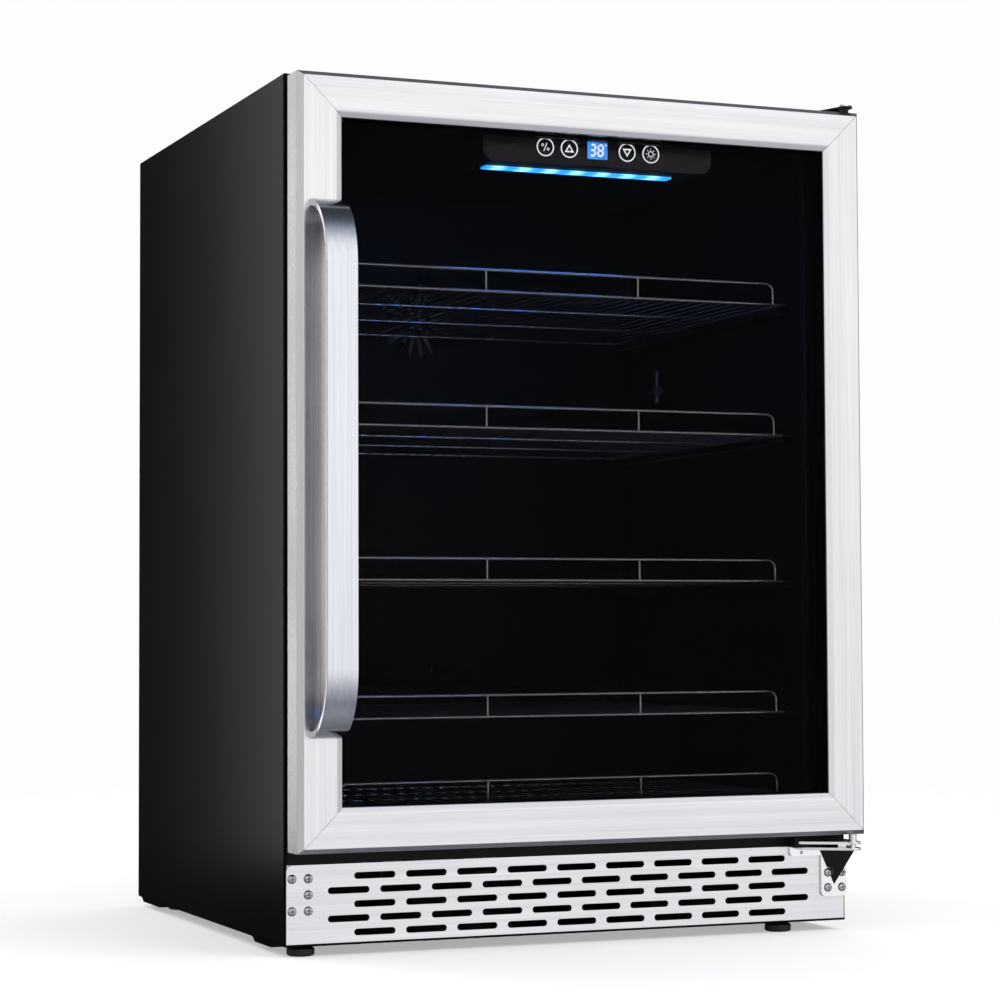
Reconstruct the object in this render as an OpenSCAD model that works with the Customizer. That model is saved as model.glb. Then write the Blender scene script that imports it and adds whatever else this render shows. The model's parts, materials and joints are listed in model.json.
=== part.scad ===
// Under-counter beverage cooler: steel cabinet, framed glass door on two pins,
// wire shelves, control panel, fan-cooled evaporator and a rear machine bay.
// Millimetres. +X is to the right as seen from the front, -Y is the front, +Z is up.
// The origin is at the bottom centre of the whole cooler, handle included.

/* [Cabinet] */
// Width of the cabinet and of the door
cabinet_w = 595; // [585:1:605]
// Depth of the cabinet without the door
cabinet_d = 533; // [525:1:545]
// Height of the cabinet without the feet
cabinet_h = 821; // [815:1:830]
// Clear height under the cabinet
foot_gap = 10; // [8:1:14]
// Thickness of the insulated walls
wall_t = 38; // [36:1:40]

/* [Door] */
// Height of the door
door_h = 727; // [722:1:730]
// Thickness of the door without its gasket
door_t = 36; // [34:1:38]
// Gap between door and cabinet, which the gasket fills
door_gap = 11; // [10:0.5:13]
// Width of the steel frame round the glass
frame_w = 42.5; // [38:0.5:46]
// Width of the bevel on the frame's outer edge, seen from the front
bevel = 4.5; // [4:0.5:8]
// Distance from the door's side to the hinge pins
hinge_inset = 10.5; // [10:0.5:12]

/* [Handle] */
// Length of the bow handle
handle_len = 500; // [400:10:560]
// Width of the handle's strap
handle_w = 30; // [24:1:32]
// How far the handle stands out from the door
handle_reach = 50; // [40:1:60]

/* [Shelves] */
// Heights of the four sliding shelves above the floor
shelf_z = [636, 502, 353, 220];
// Height of the bottom rack above the floor
rack_z = 137; // [134:1:140]
// Thickness of the shelf wires
wire_d = 3; // [2.5:0.1:3.4]
// Spacing of the wires that run front to back
wire_pitch = 15.2; // [14:0.1:18]
// Height of the guard rail above its shelf
guard_h = 21; // [16:1:24]

/* [Hidden] */
$fn = 48;
e = 1; // overshoot of cutting shapes

// Planes of the cabinet and the door
hx = cabinet_w / 2;
front_y = -(handle_reach + door_t + door_gap + cabinet_d) / 2;
door_front = front_y + handle_reach;
door_back = door_front + door_t;
cab_front = door_back + door_gap;
cab_rear = cab_front + cabinet_d;
cab_bottom = foot_gap;
cab_top = foot_gap + cabinet_h;
door_top = cab_top - 5;
door_bottom = door_top - door_h;

// Sheet metal and skins
sheet_t = 1;
skin_t = 1.2;
tray_t = 2;
liner_t = 1.5;
flange_t = 10;
clear = 0.3;
foam_joint = 0.2;

// Machine bay under the cold space, taller at the rear
bay_front_top = 92;
bay_rear_y = cab_rear - 210;
bay_rear_top = 178;

// Cold space, measured on the liner's inner faces
cave_x = hx - wall_t - 2.5;
cave_top = cab_top - wall_t;
cave_floor = bay_front_top + wall_t - 2;
cave_rear = cab_rear - wall_t - 2;
hump_y = bay_rear_y - wall_t;
hump_top = bay_rear_top + wall_t - 1.5;
duct_y = cave_rear - 50;

// Door opening and glass
open_x = hx - frame_w;
open_z0 = door_bottom + frame_w;
open_z1 = door_top - frame_w;
glass_lap = 13;
glass_y = door_front + 5;
pane_t = 4;
spacer_t = 12;
bevel_depth = 7;
inner_lip_r = 2.5;
inner_lip_d = 4.9;
bevel_len = sqrt(bevel * bevel + bevel_depth * bevel_depth);
bevel_in_u = bevel + skin_t * (bevel_len - bevel) / bevel_depth;
bevel_in_v = bevel_depth + skin_t * (bevel_len - bevel_depth) / bevel;
glass_back = glass_y + 2 * pane_t + spacer_t;

// Gasket, set in from the door's edge so that its hinge side clears the cabinet
seal_x = hx - hinge_inset;
seal_w = 19;
seal_z0 = door_bottom + hinge_inset;
seal_z1 = door_top - hinge_inset;

// Hinge line
pin_x = hx - hinge_inset;
pin_y = door_front + 11.5;
pin_r = 3;
pin_gap = 0.05;
bush_r = 4.5;
bush_len = 14;
leaf_t = 2.5;
leaf_low_z = 83;
leaf_high_z = 89;
leaf_nose_r = 8;

// Tab beside the lower leaf, and the stop block that stands on it
tab_x0 = 233;
tab_z0 = 76;
tab_corner = 4;
tab_hole = [246, 79.5, 1.6];
stop_x0 = 231;
stop_x1 = 280.5;
stop_end_w = 5;
stop_depth = 14;
stop_top = 96;

// Kick grille
grille_z0 = cab_bottom + tray_t;
grille_z1 = 86;
grille_t = 1.2;
grille_x = hx - 2;
slot_l = 41;
slot_h = 6;
slot_pitch = 52;
slot_row = 13.2;
slot_rows = 5;
slot_first_z = 21.3;

// Fasteners
screw_head_r = 4.5;
screw_head_h = 2.6;
screw_r = 2;
screw_len = 8;
hole_r = 2.2;
grille_screw_at = [[-290, 73], [-274, 73], [-274, 58], [-274, 43], [-290, 43]];
bracket_screw_at = [[276, 58.5], [276, 43.5], [292, 43.5], [292, 58.5]];
upper_screw_at = [[281, cab_front + 18], [281, cab_front + 42]];
upper_plate_t = 1.5;
upper_plate_x0 = 268;
upper_plate_rear = cab_front + 54;
lock_screw_dx = 4.5;
bracket_x0 = 268.5;
bracket_z0 = 34.5;
corner_plate_x = [266, hx - 2.5];
corner_plate_z0 = 30;
corner_plate_t = 3;

// Control panel
panel_x0 = -98;
panel_x1 = 148;
panel_z0 = 759;
panel_y = cab_front - 9;
panel_depth = 60;
panel_r = 12;
window_t = 1.5;
panel_wall = 2;
panel_flat_y = panel_y + 8;
display_x = 23;
display_z = 775;

// Lamp strip in the housing's floor
lamp_x0 = -85;
lamp_x1 = 116;
lamp_y = panel_y + 33;
lamp_pitch = 28;
lamp_size = 5;
cover_w = 14;
cover_drop = 1.8;

// Feet
foot_r = 13.5;
foot_pad_h = 8;
stem_r = 4;
stem_len = 30;
foot_front_y = cab_front + 16;
foot_rear_y = cab_rear - 60;
foot_front_left_x = -hx + 21.5;
foot_front_right_x = hx - 68.5;
foot_rear_x = hx - 32;
foot_at = [[foot_front_left_x, foot_front_y], [foot_front_right_x, foot_front_y],
           [-foot_rear_x, foot_rear_y], [foot_rear_x, foot_rear_y]];
rail_drop = 4.5;
rail_w = 58;

// Shelves
shelf_x = 250;
shelf_front = cab_front + 24;
shelf_rear = duct_y - 6;
rack_rear = hump_y - 6;
guard_x = 236;
guard_corner = 9;
guard_post_x = 82;
ledge_w = 12;
ledge_h = 6;

// Fans
fan_hub_r = 14;
fan_blades = 5;
fan_depth = 18;
fan_shaft_r = 2;
fan_chord = 26;
fan_blade_t = 1.6;
fan_pitch_deg = 32;
cold_fan_z = 655;
cold_fan_r = 46;
cold_fan_y = duct_y + 14;
warm_fan_x = -60;
warm_fan_r = 52;
warm_fan_y = (bay_rear_y + cab_rear) / 2;
warm_fan_z = 92;
discharge_dy = 40;

// Compressor
comp_x = 158;
comp_y = warm_fan_y;
comp_r = 68;
comp_z0 = 26;
comp_h = 120;
comp_stub = [-30, 48];
comp_stub_top = comp_z0 + comp_h / 2 + 45;

// A box from one corner to the opposite one
module block(x0, x1, y0, y1, z0, z1) {
    translate([x0, y0, z0]) cube([x1 - x0, y1 - y0, z1 - z0]);
}

// A flat outline in X and Z, given depth from y0 to y1
module depth_xz(y0, y1) {
    translate([0, y1, 0]) rotate([90, 0, 0]) linear_extrude(y1 - y0) children();
}

// A flat outline in Y and Z, given width from x0 to x1
module width_yz(x0, x1) {
    translate([x0, 0, 0]) rotate([90, 0, 90]) linear_extrude(x1 - x0) children();
}

// A rectangular ring that faces the front
module ring(x_out, z0_out, z1_out, x_in, z0_in, z1_in, y0, y1) {
    difference() {
        block(-x_out, x_out, y0, y1, z0_out, z1_out);
        block(-x_in, x_in, y0 - e, y1 + e, z0_in, z1_in);
    }
}

// A rod along Y
module rod_y(x, z, y0, y1, r) {
    translate([x, y0, z]) rotate([-90, 0, 0]) cylinder(r = r, h = y1 - y0);
}

// A flat outline with round ends, centred
module slot_shape(l, h) {
    square([l - h, h], center = true);
    for (side = [-1, 1]) translate([side * (l - h) / 2, 0]) circle(d = h);
}

// A domed screw whose head sits on the plane y and whose shank runs to +Y
module domed_screw(x, z, y, len) {
    ball_r = (screw_head_r * screw_head_r + screw_head_h * screw_head_h) / (2 * screw_head_h);
    translate([x, y, z]) rotate([90, 0, 0]) difference() {
        union() {
            intersection() {
                translate([0, 0, screw_head_h - ball_r]) sphere(r = ball_r);
                cylinder(r = screw_head_r, h = screw_head_h + e);
            }
            translate([0, 0, -len]) cylinder(r = screw_r, h = len + 0.5);
        }
        for (turn = [0, 90]) rotate(turn) translate([-2.2, -0.5, screw_head_h - 1]) cube([4.4, 1, 2]);
    }
}

// ---- Cabinet ----

module side_panel_left() {
    color("#17171a") block(-hx, -hx + sheet_t, cab_front, cab_rear, cab_bottom, cab_top);
}

module side_panel_right() {
    color("#17171a") block(hx - sheet_t, hx, cab_front, cab_rear, cab_bottom, cab_top);
}

module top_panel() {
    inner_x = hx - sheet_t;
    color("#17171a") difference() {
        block(-inner_x, inner_x, cab_front, cab_rear, cab_top - sheet_t, cab_top);
        for (at = upper_screw_at) translate([at[0], at[1], cab_top - 2]) cylinder(r = hole_r, h = 3);
    }
}

module rear_panel() {
    inner_x = hx - sheet_t;
    color("#2a2a2c")
    block(-inner_x, inner_x, cab_rear - sheet_t, cab_rear, bay_rear_top, cab_top - sheet_t);
}

// Cover of the machine bay, with air slots and the hole for the supply lead
inlet_x = -230;
inlet_z = 60;
inlet_r = 9;
inlet_flange = 3;
cover_y = cab_rear - inlet_flange;
module rear_cover() {
    inner_x = hx - sheet_t;
    rows = 6;
    first_z = 40;
    row_step = 20;
    col_step = 62;
    color("#2a2a2c") difference() {
        block(-inner_x, inner_x, cover_y - sheet_t, cover_y, grille_z0, bay_rear_top);
        depth_xz(cover_y - sheet_t - e, cover_y + e)
            for (row = [0 : rows - 1], col = [-2 : 3])
                translate([col * col_step - 10, first_z + row * row_step]) slot_shape(50, 7);
        rod_y(inlet_x, inlet_z, cover_y - sheet_t - e, cover_y + e, inlet_r);
    }
}

// Bushing that the supply lead passes through
module power_inlet() {
    len = 7;
    lead_r = 4;
    color("#111111") translate([inlet_x, cab_rear, inlet_z]) rotate([90, 0, 0]) difference() {
        union() {
            cylinder(r = inlet_r + 3, h = inlet_flange);
            cylinder(r = inlet_r, h = len);
        }
        translate([0, 0, -e]) cylinder(r = lead_r, h = len + 2 * e);
    }
}

// Floor of the cabinet, with pressed rails below it and a threaded boss for each foot
module base_tray() {
    inner_x = hx - sheet_t;
    rail_y = [[cab_front + 36, cab_front + 104], [cab_rear - 96, cab_rear - 12]];
    rail_slope = 8;
    boss_r = 9;
    boss_h = 14;
    color("#1c1c1e") difference() {
        union() {
            block(-inner_x, inner_x, cab_front - grille_t, cab_rear - sheet_t - 4, cab_bottom, grille_z0);
            for (side = [-1, 1], y = rail_y)
                width_yz(side < 0 ? -inner_x : inner_x - rail_w, side < 0 ? rail_w - inner_x : inner_x)
                    polygon([[y[0], cab_bottom + 0.5], [y[0] + rail_slope, cab_bottom - rail_drop],
                             [y[1] - rail_slope, cab_bottom - rail_drop], [y[1], cab_bottom + 0.5]]);
            for (at = foot_at) translate([at[0], at[1], cab_bottom]) cylinder(r = boss_r, h = boss_h);
        }
        for (at = foot_at) translate([at[0], at[1], 0]) {
            cylinder(r = foot_r + 2, h = cab_bottom - clear);
            cylinder(r = stem_r + pin_gap, h = stem_len);
        }
    }
}

// Frame that the gasket closes on
module front_frame() {
    color("#0d0d0f")
    ring(hx - sheet_t, grille_z1, cab_top - sheet_t, cave_x, cave_floor, cave_top,
         cab_front, cab_front + flange_t);
}

// Outline of the cold space from the side: a floor, a hump over the compressor and a rear wall
module cave_outline() {
    polygon([[cab_front + flange_t, cave_floor], [hump_y, cave_floor], [hump_y, hump_top],
             [cave_rear, hump_top], [cave_rear, cave_top], [cab_front + flange_t, cave_top]]);
}

module inner_liner() {
    outer_x = cave_x + liner_t;
    y0 = cab_front + flange_t;
    color("#0b0b0d") difference() {
        width_yz(-outer_x, outer_x)
            polygon([[y0, cave_floor - liner_t], [hump_y + liner_t, cave_floor - liner_t],
                     [hump_y + liner_t, hump_top - liner_t], [cave_rear + liner_t, hump_top - liner_t],
                     [cave_rear + liner_t, cave_top + liner_t], [y0, cave_top + liner_t]]);
        width_yz(-cave_x, cave_x) cave_outline();
        block(-cave_x, cave_x, y0 - e, y0 + e, cave_floor, cave_top);
    }
}

// Insulation, parted into slabs with a fine joint between them
module foam_slabs() {
    x = cave_x + liner_t;
    g = foam_joint;
    y0 = cab_front + flange_t;
    y1 = cab_rear - sheet_t;
    top = cab_top - sheet_t;
    color("#d8cfa8") {
        for (side = [-1, 1])
            width_yz(side < 0 ? -hx + sheet_t : x + g, side < 0 ? -x - g : hx - sheet_t)
                polygon([[y0, bay_front_top], [bay_rear_y, bay_front_top], [bay_rear_y, bay_rear_top],
                         [y1, bay_rear_top], [y1, top], [y0, top]]);
        block(-x, x, y0, y1, cave_top + liner_t + g, top);
        block(-x, x, cave_rear + liner_t + g, y1, bay_rear_top, cave_top + liner_t);
        block(-x, x, y0, hump_y + liner_t, bay_front_top, cave_floor - liner_t - g);
        block(-x, x, hump_y + liner_t + g, bay_rear_y, bay_front_top, hump_top - liner_t - g);
        block(-x, x, bay_rear_y + g, cave_rear + liner_t, bay_rear_top, hump_top - liner_t - g);
    }
}

// Steel plates behind the grille's ends, which the bracket and grille screws thread into
module corner_plates() {
    color("#8c8f94") difference() {
        for (side = [-1, 1])
            block(min(side * corner_plate_x), max(side * corner_plate_x),
                  cab_front, cab_front + corner_plate_t, corner_plate_z0, grille_z1);
        for (at = concat(grille_screw_at, bracket_screw_at))
            rod_y(at[0], at[1], cab_front - e, cab_front + corner_plate_t + e, screw_r + pin_gap);
    }
}

// ---- Kick grille ----

module kick_grille() {
    corner = 6;
    color("#c9cacd") depth_xz(cab_front - grille_t, cab_front) difference() {
        union() {
            translate([-grille_x, grille_z0]) square([2 * grille_x, grille_z1 - grille_z0 - corner]);
            translate([-grille_x + corner, grille_z0])
                square([2 * (grille_x - corner), grille_z1 - grille_z0]);
            for (side = [-1, 1]) translate([side * (grille_x - corner), grille_z1 - corner]) circle(corner);
        }
        for (row = [0 : slot_rows - 1]) {
            count = row % 2 == 0 ? 9 : 10;
            for (col = [0 : count - 1])
                translate([(col - (count - 1) / 2) * slot_pitch, slot_first_z + row * slot_row])
                    slot_shape(slot_l, slot_h);
        }
        for (at = concat(grille_screw_at, bracket_screw_at)) translate(at) circle(hole_r);
    }
}

module grille_screws() {
    color("#b9bbbf") for (at = grille_screw_at) domed_screw(at[0], at[1], cab_front - grille_t, screw_len);
}

// ---- Feet ----

module foot(at) {
    edge = 2.5;
    color("#0e0e10") translate([at[0], at[1], 0])
        rotate_extrude() polygon([[0, 0], [foot_r - edge, 0], [foot_r, edge], [foot_r, foot_pad_h],
                                  [stem_r, foot_pad_h], [stem_r, stem_len], [0, stem_len]]);
}

module foot_front_left() { foot(foot_at[0]); }
module foot_front_right() { foot(foot_at[1]); }
module foot_rear_left() { foot(foot_at[2]); }
module foot_rear_right() { foot(foot_at[3]); }

// ---- Hinges ----

// Leaf that reaches from the cabinet to the pin, with a round nose
module leaf(x0, z, rear_y) {
    translate([0, 0, z]) linear_extrude(leaf_t) difference() {
        union() {
            polygon([[x0, rear_y], [x0, rear_y - 12], [pin_x - leaf_nose_r, pin_y - 4],
                     [pin_x - 4, pin_y - leaf_nose_r + 1], [hx - 2, pin_y], [hx, rear_y]]);
            translate([pin_x, pin_y]) circle(leaf_nose_r);
        }
        translate([pin_x, pin_y]) circle(pin_r);
    }
}

module lower_hinge_bracket() {
    y1 = cab_front - grille_t;
    y0 = y1 - leaf_t;
    corner = 5;
    top = leaf_high_z + leaf_t;
    tab_top = leaf_low_z + leaf_t;
    color("#c4c6ca") difference() {
        union() {
            depth_xz(y0, y1) {
                translate([bracket_x0, bracket_z0 + corner])
                    square([hx - bracket_x0, top - bracket_z0 - corner]);
                translate([bracket_x0 + corner, bracket_z0]) square([hx - bracket_x0 - 2 * corner, corner]);
                for (x = [bracket_x0 + corner, hx - corner])
                    translate([x, bracket_z0 + corner]) circle(corner);
                translate([tab_x0, tab_z0 + tab_corner])
                    square([bracket_x0 - tab_x0 + e, tab_top - tab_z0 - tab_corner]);
                translate([tab_x0 + tab_corner, tab_z0])
                    square([bracket_x0 - tab_x0 - tab_corner + e, tab_top - tab_z0]);
                translate([tab_x0 + tab_corner, tab_z0 + tab_corner]) circle(tab_corner);
            }
            leaf(tab_x0 + 8, leaf_low_z, y0 + e);
            leaf(stop_x0 + stop_end_w, leaf_high_z, y0 + e);
        }
        for (at = bracket_screw_at) rod_y(at[0], at[1], y0 - e, y1 + e, hole_r);
        rod_y(tab_hole[0], tab_hole[1], y0 - e, y1 + e, tab_hole[2]);
    }
}

// Pin that stands on the bracket's leaves and carries the door
module lower_hinge_pin() {
    color("#d5d7da") translate([pin_x, pin_y, leaf_low_z]) {
        cylinder(r = pin_r, h = door_bottom + bush_len - 2 - leaf_low_z);
        translate([0, 0, leaf_high_z + leaf_t - leaf_low_z])
            cylinder(r = pin_r + 1, h = door_bottom - leaf_high_z - leaf_t - clear);
    }
}

// Black web that braces the lower leaf against the face plate
module hinge_gusset() {
    y1 = cab_front - grille_t - leaf_t;
    z = leaf_low_z;
    color("#1b1b1d") difference() {
        polyhedron(
            points = [[bracket_x0 - 2.5, y1, z], [hx - 1, y1, z], [283, y1, 46], [pin_x + 3, pin_y + 1, z]],
            faces = [[0, 2, 1], [0, 1, 3], [1, 2, 3], [2, 0, 3]]);
        for (at = bracket_screw_at) rod_y(at[0], at[1], y1 - stop_depth, y1 + e, screw_head_r + 0.8);
    }
}

// Black block over the tab and between the leaves, which stops the open door
module door_stop_block() {
    y1 = cab_front - grille_t - leaf_t;
    low = leaf_low_z + leaf_t;
    high = leaf_high_z + leaf_t;
    color("#151517") {
        block(stop_x0 + stop_end_w - 0.1, stop_x1, y1 - stop_depth, y1, low, leaf_high_z);
        block(stop_x0, stop_x0 + stop_end_w, y1 - stop_depth, y1, low, stop_top);
        block(stop_x0 + stop_end_w - 0.1, stop_x1 - 18, y1 - stop_depth / 2, y1, high, stop_top);
    }
}

// Plate on the cabinet's top with the upper pin
module upper_hinge_plate() {
    pin_z0 = door_top - bush_len + 2;
    nose = leaf_nose_r - 1;
    color("#3a3b3e") difference() {
        union() {
            translate([0, 0, cab_top]) linear_extrude(upper_plate_t) {
                polygon([[upper_plate_x0, upper_plate_rear], [upper_plate_x0, cab_front - 2],
                         [pin_x - nose, pin_y], [pin_x + nose, pin_y], [hx - 1, cab_front - 4],
                         [hx - 1, upper_plate_rear]]);
                translate([pin_x, pin_y]) circle(nose);
            }
            translate([pin_x, pin_y, pin_z0]) cylinder(r = pin_r, h = cab_top + upper_plate_t - pin_z0);
        }
        for (at = upper_screw_at)
            translate([at[0], at[1], cab_top - e]) cylinder(r = hole_r, h = upper_plate_t + 2 * e);
    }
}

module hinge_screws() {
    y1 = cab_front - grille_t - leaf_t;
    color("#c4c6ca") {
        for (at = bracket_screw_at) domed_screw(at[0], at[1], y1, screw_len);
        for (at = upper_screw_at)
            translate([at[0], at[1], cab_top + upper_plate_t]) rotate([-90, 0, 0])
                domed_screw(0, 0, 0, upper_plate_t + 0.8);
        // Heads of the two screws that lock the upper pin
        for (side = [-1, 1])
            translate([pin_x + side * lock_screw_dx, pin_y - 1, cab_top + upper_plate_t]) lock_head();
    }
}

module lock_head() {
    rotate_extrude() polygon([[0, 0], [2.3, 0], [2.3, 1.1], [1.5, 1.9], [0, 1.9]]);
}

// ---- Door ----

// Steel skin of one frame member: u runs in from the door's outer edge, v back from its front
module skin_outline() {
    s = skin_t;
    r = inner_lip_r;
    w = frame_w;
    back = door_t - 1;
    polygon([[0, bevel_depth], [bevel, 0], [w - r, 0], [w, r], [w, inner_lip_d],
             [w - s, inner_lip_d], [w - s, r + 0.5], [w - s - r + 0.7, s], [bevel_in_u, s],
             [s, bevel_in_v], [s, back], [0, back]]);
}

// The stretch of the frame that a member covers, cut at 45 degrees at both ends
module stile_mitre() {
    depth_xz(door_front - e, door_back + e)
        polygon([[-hx, door_bottom], [-open_x, open_z0], [-open_x, open_z1], [-hx, door_top]]);
}

module rail_mitre() {
    depth_xz(door_front - e, door_back + e)
        polygon([[-hx, door_top], [-open_x, open_z1], [open_x, open_z1], [hx, door_top]]);
}

module left_member() {
    intersection() {
        stile_mitre();
        translate([-hx, door_front, door_bottom]) linear_extrude(door_h) skin_outline();
    }
}

module top_member() {
    intersection() {
        rail_mitre();
        translate([-hx, door_front, door_top]) rotate([0, 90, 0])
            linear_extrude(cabinet_w) skin_outline();
    }
}

module bush_hole(z0, z1) {
    translate([pin_x, pin_y, z0]) cylinder(r = bush_r, h = z1 - z0);
}

handle_x = -hx + 25.5;
handle_mid_z = 455;
handle_foot = 9;
handle_strap = 6;
handle_run = 65;
handle_screw_dz = handle_len / 2 - 4.8;
bush_hole_len = 3;

module door_left_stile() {
    color("#dcdde0") difference() {
        left_member();
        for (side = [-1, 1])
            rod_y(handle_x, handle_mid_z + side * handle_screw_dz, door_front - e,
                  door_front + skin_t + e, hole_r);
    }
}

module door_right_stile() {
    color("#dcdde0") mirror([1, 0, 0]) left_member();
}

module door_top_rail() {
    color("#e2e3e6") difference() {
        top_member();
        bush_hole(door_top - bush_hole_len, door_top + e);
    }
}

module door_bottom_rail() {
    color("#e2e3e6") difference() {
        translate([0, 0, door_top + door_bottom]) mirror([0, 0, 1]) top_member();
        bush_hole(door_bottom - e, door_bottom + bush_hole_len);
    }
}

// Black plastic frame inside the steel skin, which holds the glass and the gasket
module door_inner_frame() {
    x = hx - skin_t;
    z0 = door_bottom + skin_t;
    z1 = door_top - skin_t;
    lap = glass_lap;
    lip = inner_lip_r + 0.7;
    set = bevel_in_u + 0.2 - skin_t;
    y_step = door_front + bevel_in_v + 0.2;
    color("#111113") difference() {
        union() {
            ring(x - set, z0 + set, z1 - set, open_x + lip, open_z0 - lip, open_z1 + lip,
                 door_front + skin_t, glass_y);
            ring(x - set, z0 + set, z1 - set, open_x + lap, open_z0 - lap, open_z1 + lap,
                 glass_y - 0.1, y_step);
            ring(x, z0, z1, open_x + lap, open_z0 - lap, open_z1 + lap, y_step, glass_back);
            ring(x, z0, z1, open_x, open_z0, open_z1, glass_back, door_back);
        }
        bush_hole(door_bottom, door_bottom + bush_len);
        bush_hole(door_top - bush_len, door_top);
        for (side = [-1, 1])
            rod_y(handle_x, handle_mid_z + side * handle_screw_dz, door_front, door_back + e,
                  screw_head_r + clear);
    }
}

module pane(y0, y1) {
    x = open_x + glass_lap;
    block(-x, x, y0, y1, open_z0 - glass_lap, open_z1 + glass_lap);
}

module outer_glass() { color("#20262c", 0.35) pane(glass_y, glass_y + pane_t); }
module inner_glass() { color("#20262c", 0.35) pane(glass_back - pane_t, glass_back); }

module glass_spacer() {
    lap_out = glass_lap - 1;
    lap_in = 2;
    color("#6c6f73")
    ring(open_x + lap_out, open_z0 - lap_out, open_z1 + lap_out, open_x + lap_in, open_z0 - lap_in,
         open_z1 + lap_in, glass_y + pane_t, glass_back - pane_t);
}

module door_gasket() {
    color("#0c0c0e")
    ring(seal_x, seal_z0, seal_z1, seal_x - seal_w, seal_z0 + seal_w, seal_z1 - seal_w,
         door_back, cab_front - clear);
}

// Bow handle: elliptical arcs at both ends, drawn to a foot on the door
function arc_y_z(side, z_half, run, reach, from, to) =
    [for (a = [from : (to > from ? 3.75 : -3.75) : to])
        [-reach * cos(a), side * (z_half - run + run * sin(a))]];

module handle() {
    half = handle_len / 2;
    inner_half = half - handle_foot;
    inner_reach = handle_reach - handle_strap;
    color("#d9dade") difference() {
        translate([0, door_front, handle_mid_z])
            width_yz(handle_x - handle_w / 2, handle_x + handle_w / 2)
                polygon(concat(
                    arc_y_z(1, half, handle_run, handle_reach, 90, 0),
                    arc_y_z(-1, half, handle_run, handle_reach, 0, 90),
                    arc_y_z(-1, inner_half, handle_run, inner_reach, 90, 0),
                    arc_y_z(1, inner_half, handle_run, inner_reach, 0, 90)));
        for (side = [-1, 1])
            rod_y(handle_x, handle_mid_z + side * handle_screw_dz, door_front - screw_len, door_front + e,
                  screw_r);
    }
}

module handle_screws() {
    color("#9a9da1") for (side = [-1, 1]) {
        z = handle_mid_z + side * handle_screw_dz;
        rod_y(handle_x, z, door_front - screw_len + 1, door_front + skin_t + 1, screw_r);
        rod_y(handle_x, z, door_front + skin_t, door_front + skin_t + 3, screw_head_r - 0.5);
    }
}

module hinge_bushes() {
    color("#2b2b2e") for (z = [door_bottom, door_top - bush_len])
        translate([pin_x, pin_y, z]) difference() {
            cylinder(r = bush_r, h = bush_len);
            translate([0, 0, -e]) cylinder(r = pin_r + pin_gap, h = bush_len + 2 * e);
        }
}

// ---- Controls and light ----

// Front outline of the control panel, with round lower corners
module panel_outline(inset, top) {
    r = panel_r - inset;
    x0 = panel_x0 + inset;
    x1 = panel_x1 - inset;
    z0 = panel_z0 + inset;
    translate([x0, z0 + r]) square([x1 - x0, top - z0 - r]);
    translate([x0 + r, z0]) square([x1 - x0 - 2 * r, r + e]);
    for (x = [x0 + r, x1 - r]) translate([x, z0 + r]) circle(r);
}

module control_housing() {
    y0 = panel_y + window_t;
    color("#141416") difference() {
        depth_xz(y0, y0 + panel_depth) panel_outline(0, cave_top);
        depth_xz(y0 - e, y0 + panel_depth - panel_wall) panel_outline(panel_wall, cave_top - panel_wall);
        block(lamp_x0, lamp_x1, lamp_y - cover_w / 2, lamp_y + cover_w / 2,
              panel_z0 - e, panel_z0 + panel_wall + e);
    }
}

module control_window() {
    color("#1d1d20") depth_xz(panel_y, panel_y + window_t) panel_outline(0, cave_top);
}

module display_module() {
    color("#2a6fd0") block(display_x - 12, display_x + 12, panel_y + window_t, panel_flat_y,
                           display_z - 10, display_z + 10);
}

module control_board() {
    board_t = 1.6;
    color("#1f5c35") block(panel_x0 + 8, panel_x1 - 8, panel_flat_y, panel_flat_y + board_t,
                           panel_z0 + 4, cave_top - 4);
}

// Lamp board inside the housing and its clear cover, which shows below the housing
module light_strip() {
    board_z = panel_z0 + 4;
    half = lamp_size / 2;
    color("#e9edf2") {
        block(lamp_x0 + 4, lamp_x1 - 4, lamp_y - 4, lamp_y + 4, board_z, board_z + 1.6);
        for (x = [lamp_x0 + lamp_pitch / 2 : lamp_pitch : lamp_x1 - lamp_size])
            block(x - half, x + half, lamp_y - half, lamp_y + half, board_z - 1, board_z);
    }
}

module light_diffuser() {
    color("#7fe3ff") block(lamp_x0, lamp_x1, lamp_y - cover_w / 2, lamp_y + cover_w / 2,
                           panel_z0 - cover_drop, panel_z0 + panel_wall);
}

module temperature_probe() {
    r = 3;
    len = 34;
    clip = 8;
    x = cave_x - r - 2;
    y = 120;
    z = 560;
    color("#c9ccd0") {
        translate([x, y, z]) cylinder(r = r, h = len);
        translate([x, y, z + len]) sphere(r = r + 0.2);
        block(x - clip / 2, cave_x, y - clip / 2, y + clip / 2, z + 10, z + 10 + clip);
    }
}

// ---- Cold side ----

module evaporator_cover() {
    color("#121214") depth_xz(duct_y, duct_y + 2) difference() {
        translate([-cave_x + clear, hump_top]) square([2 * (cave_x - clear), cave_top - hump_top]);
        translate([0, cold_fan_z]) for (turn = [0 : 20 : 340]) rotate(turn)
            translate([30, 0]) slot_shape(26, 5);
        translate([0, cold_fan_z]) for (turn = [0 : 60 : 300]) rotate(turn)
            translate([10, 0]) slot_shape(12, 4);
        for (x = [-200 : 50 : 200], z = [245, 258, 271]) translate([x, z]) slot_shape(38, 5);
    }
}

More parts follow.
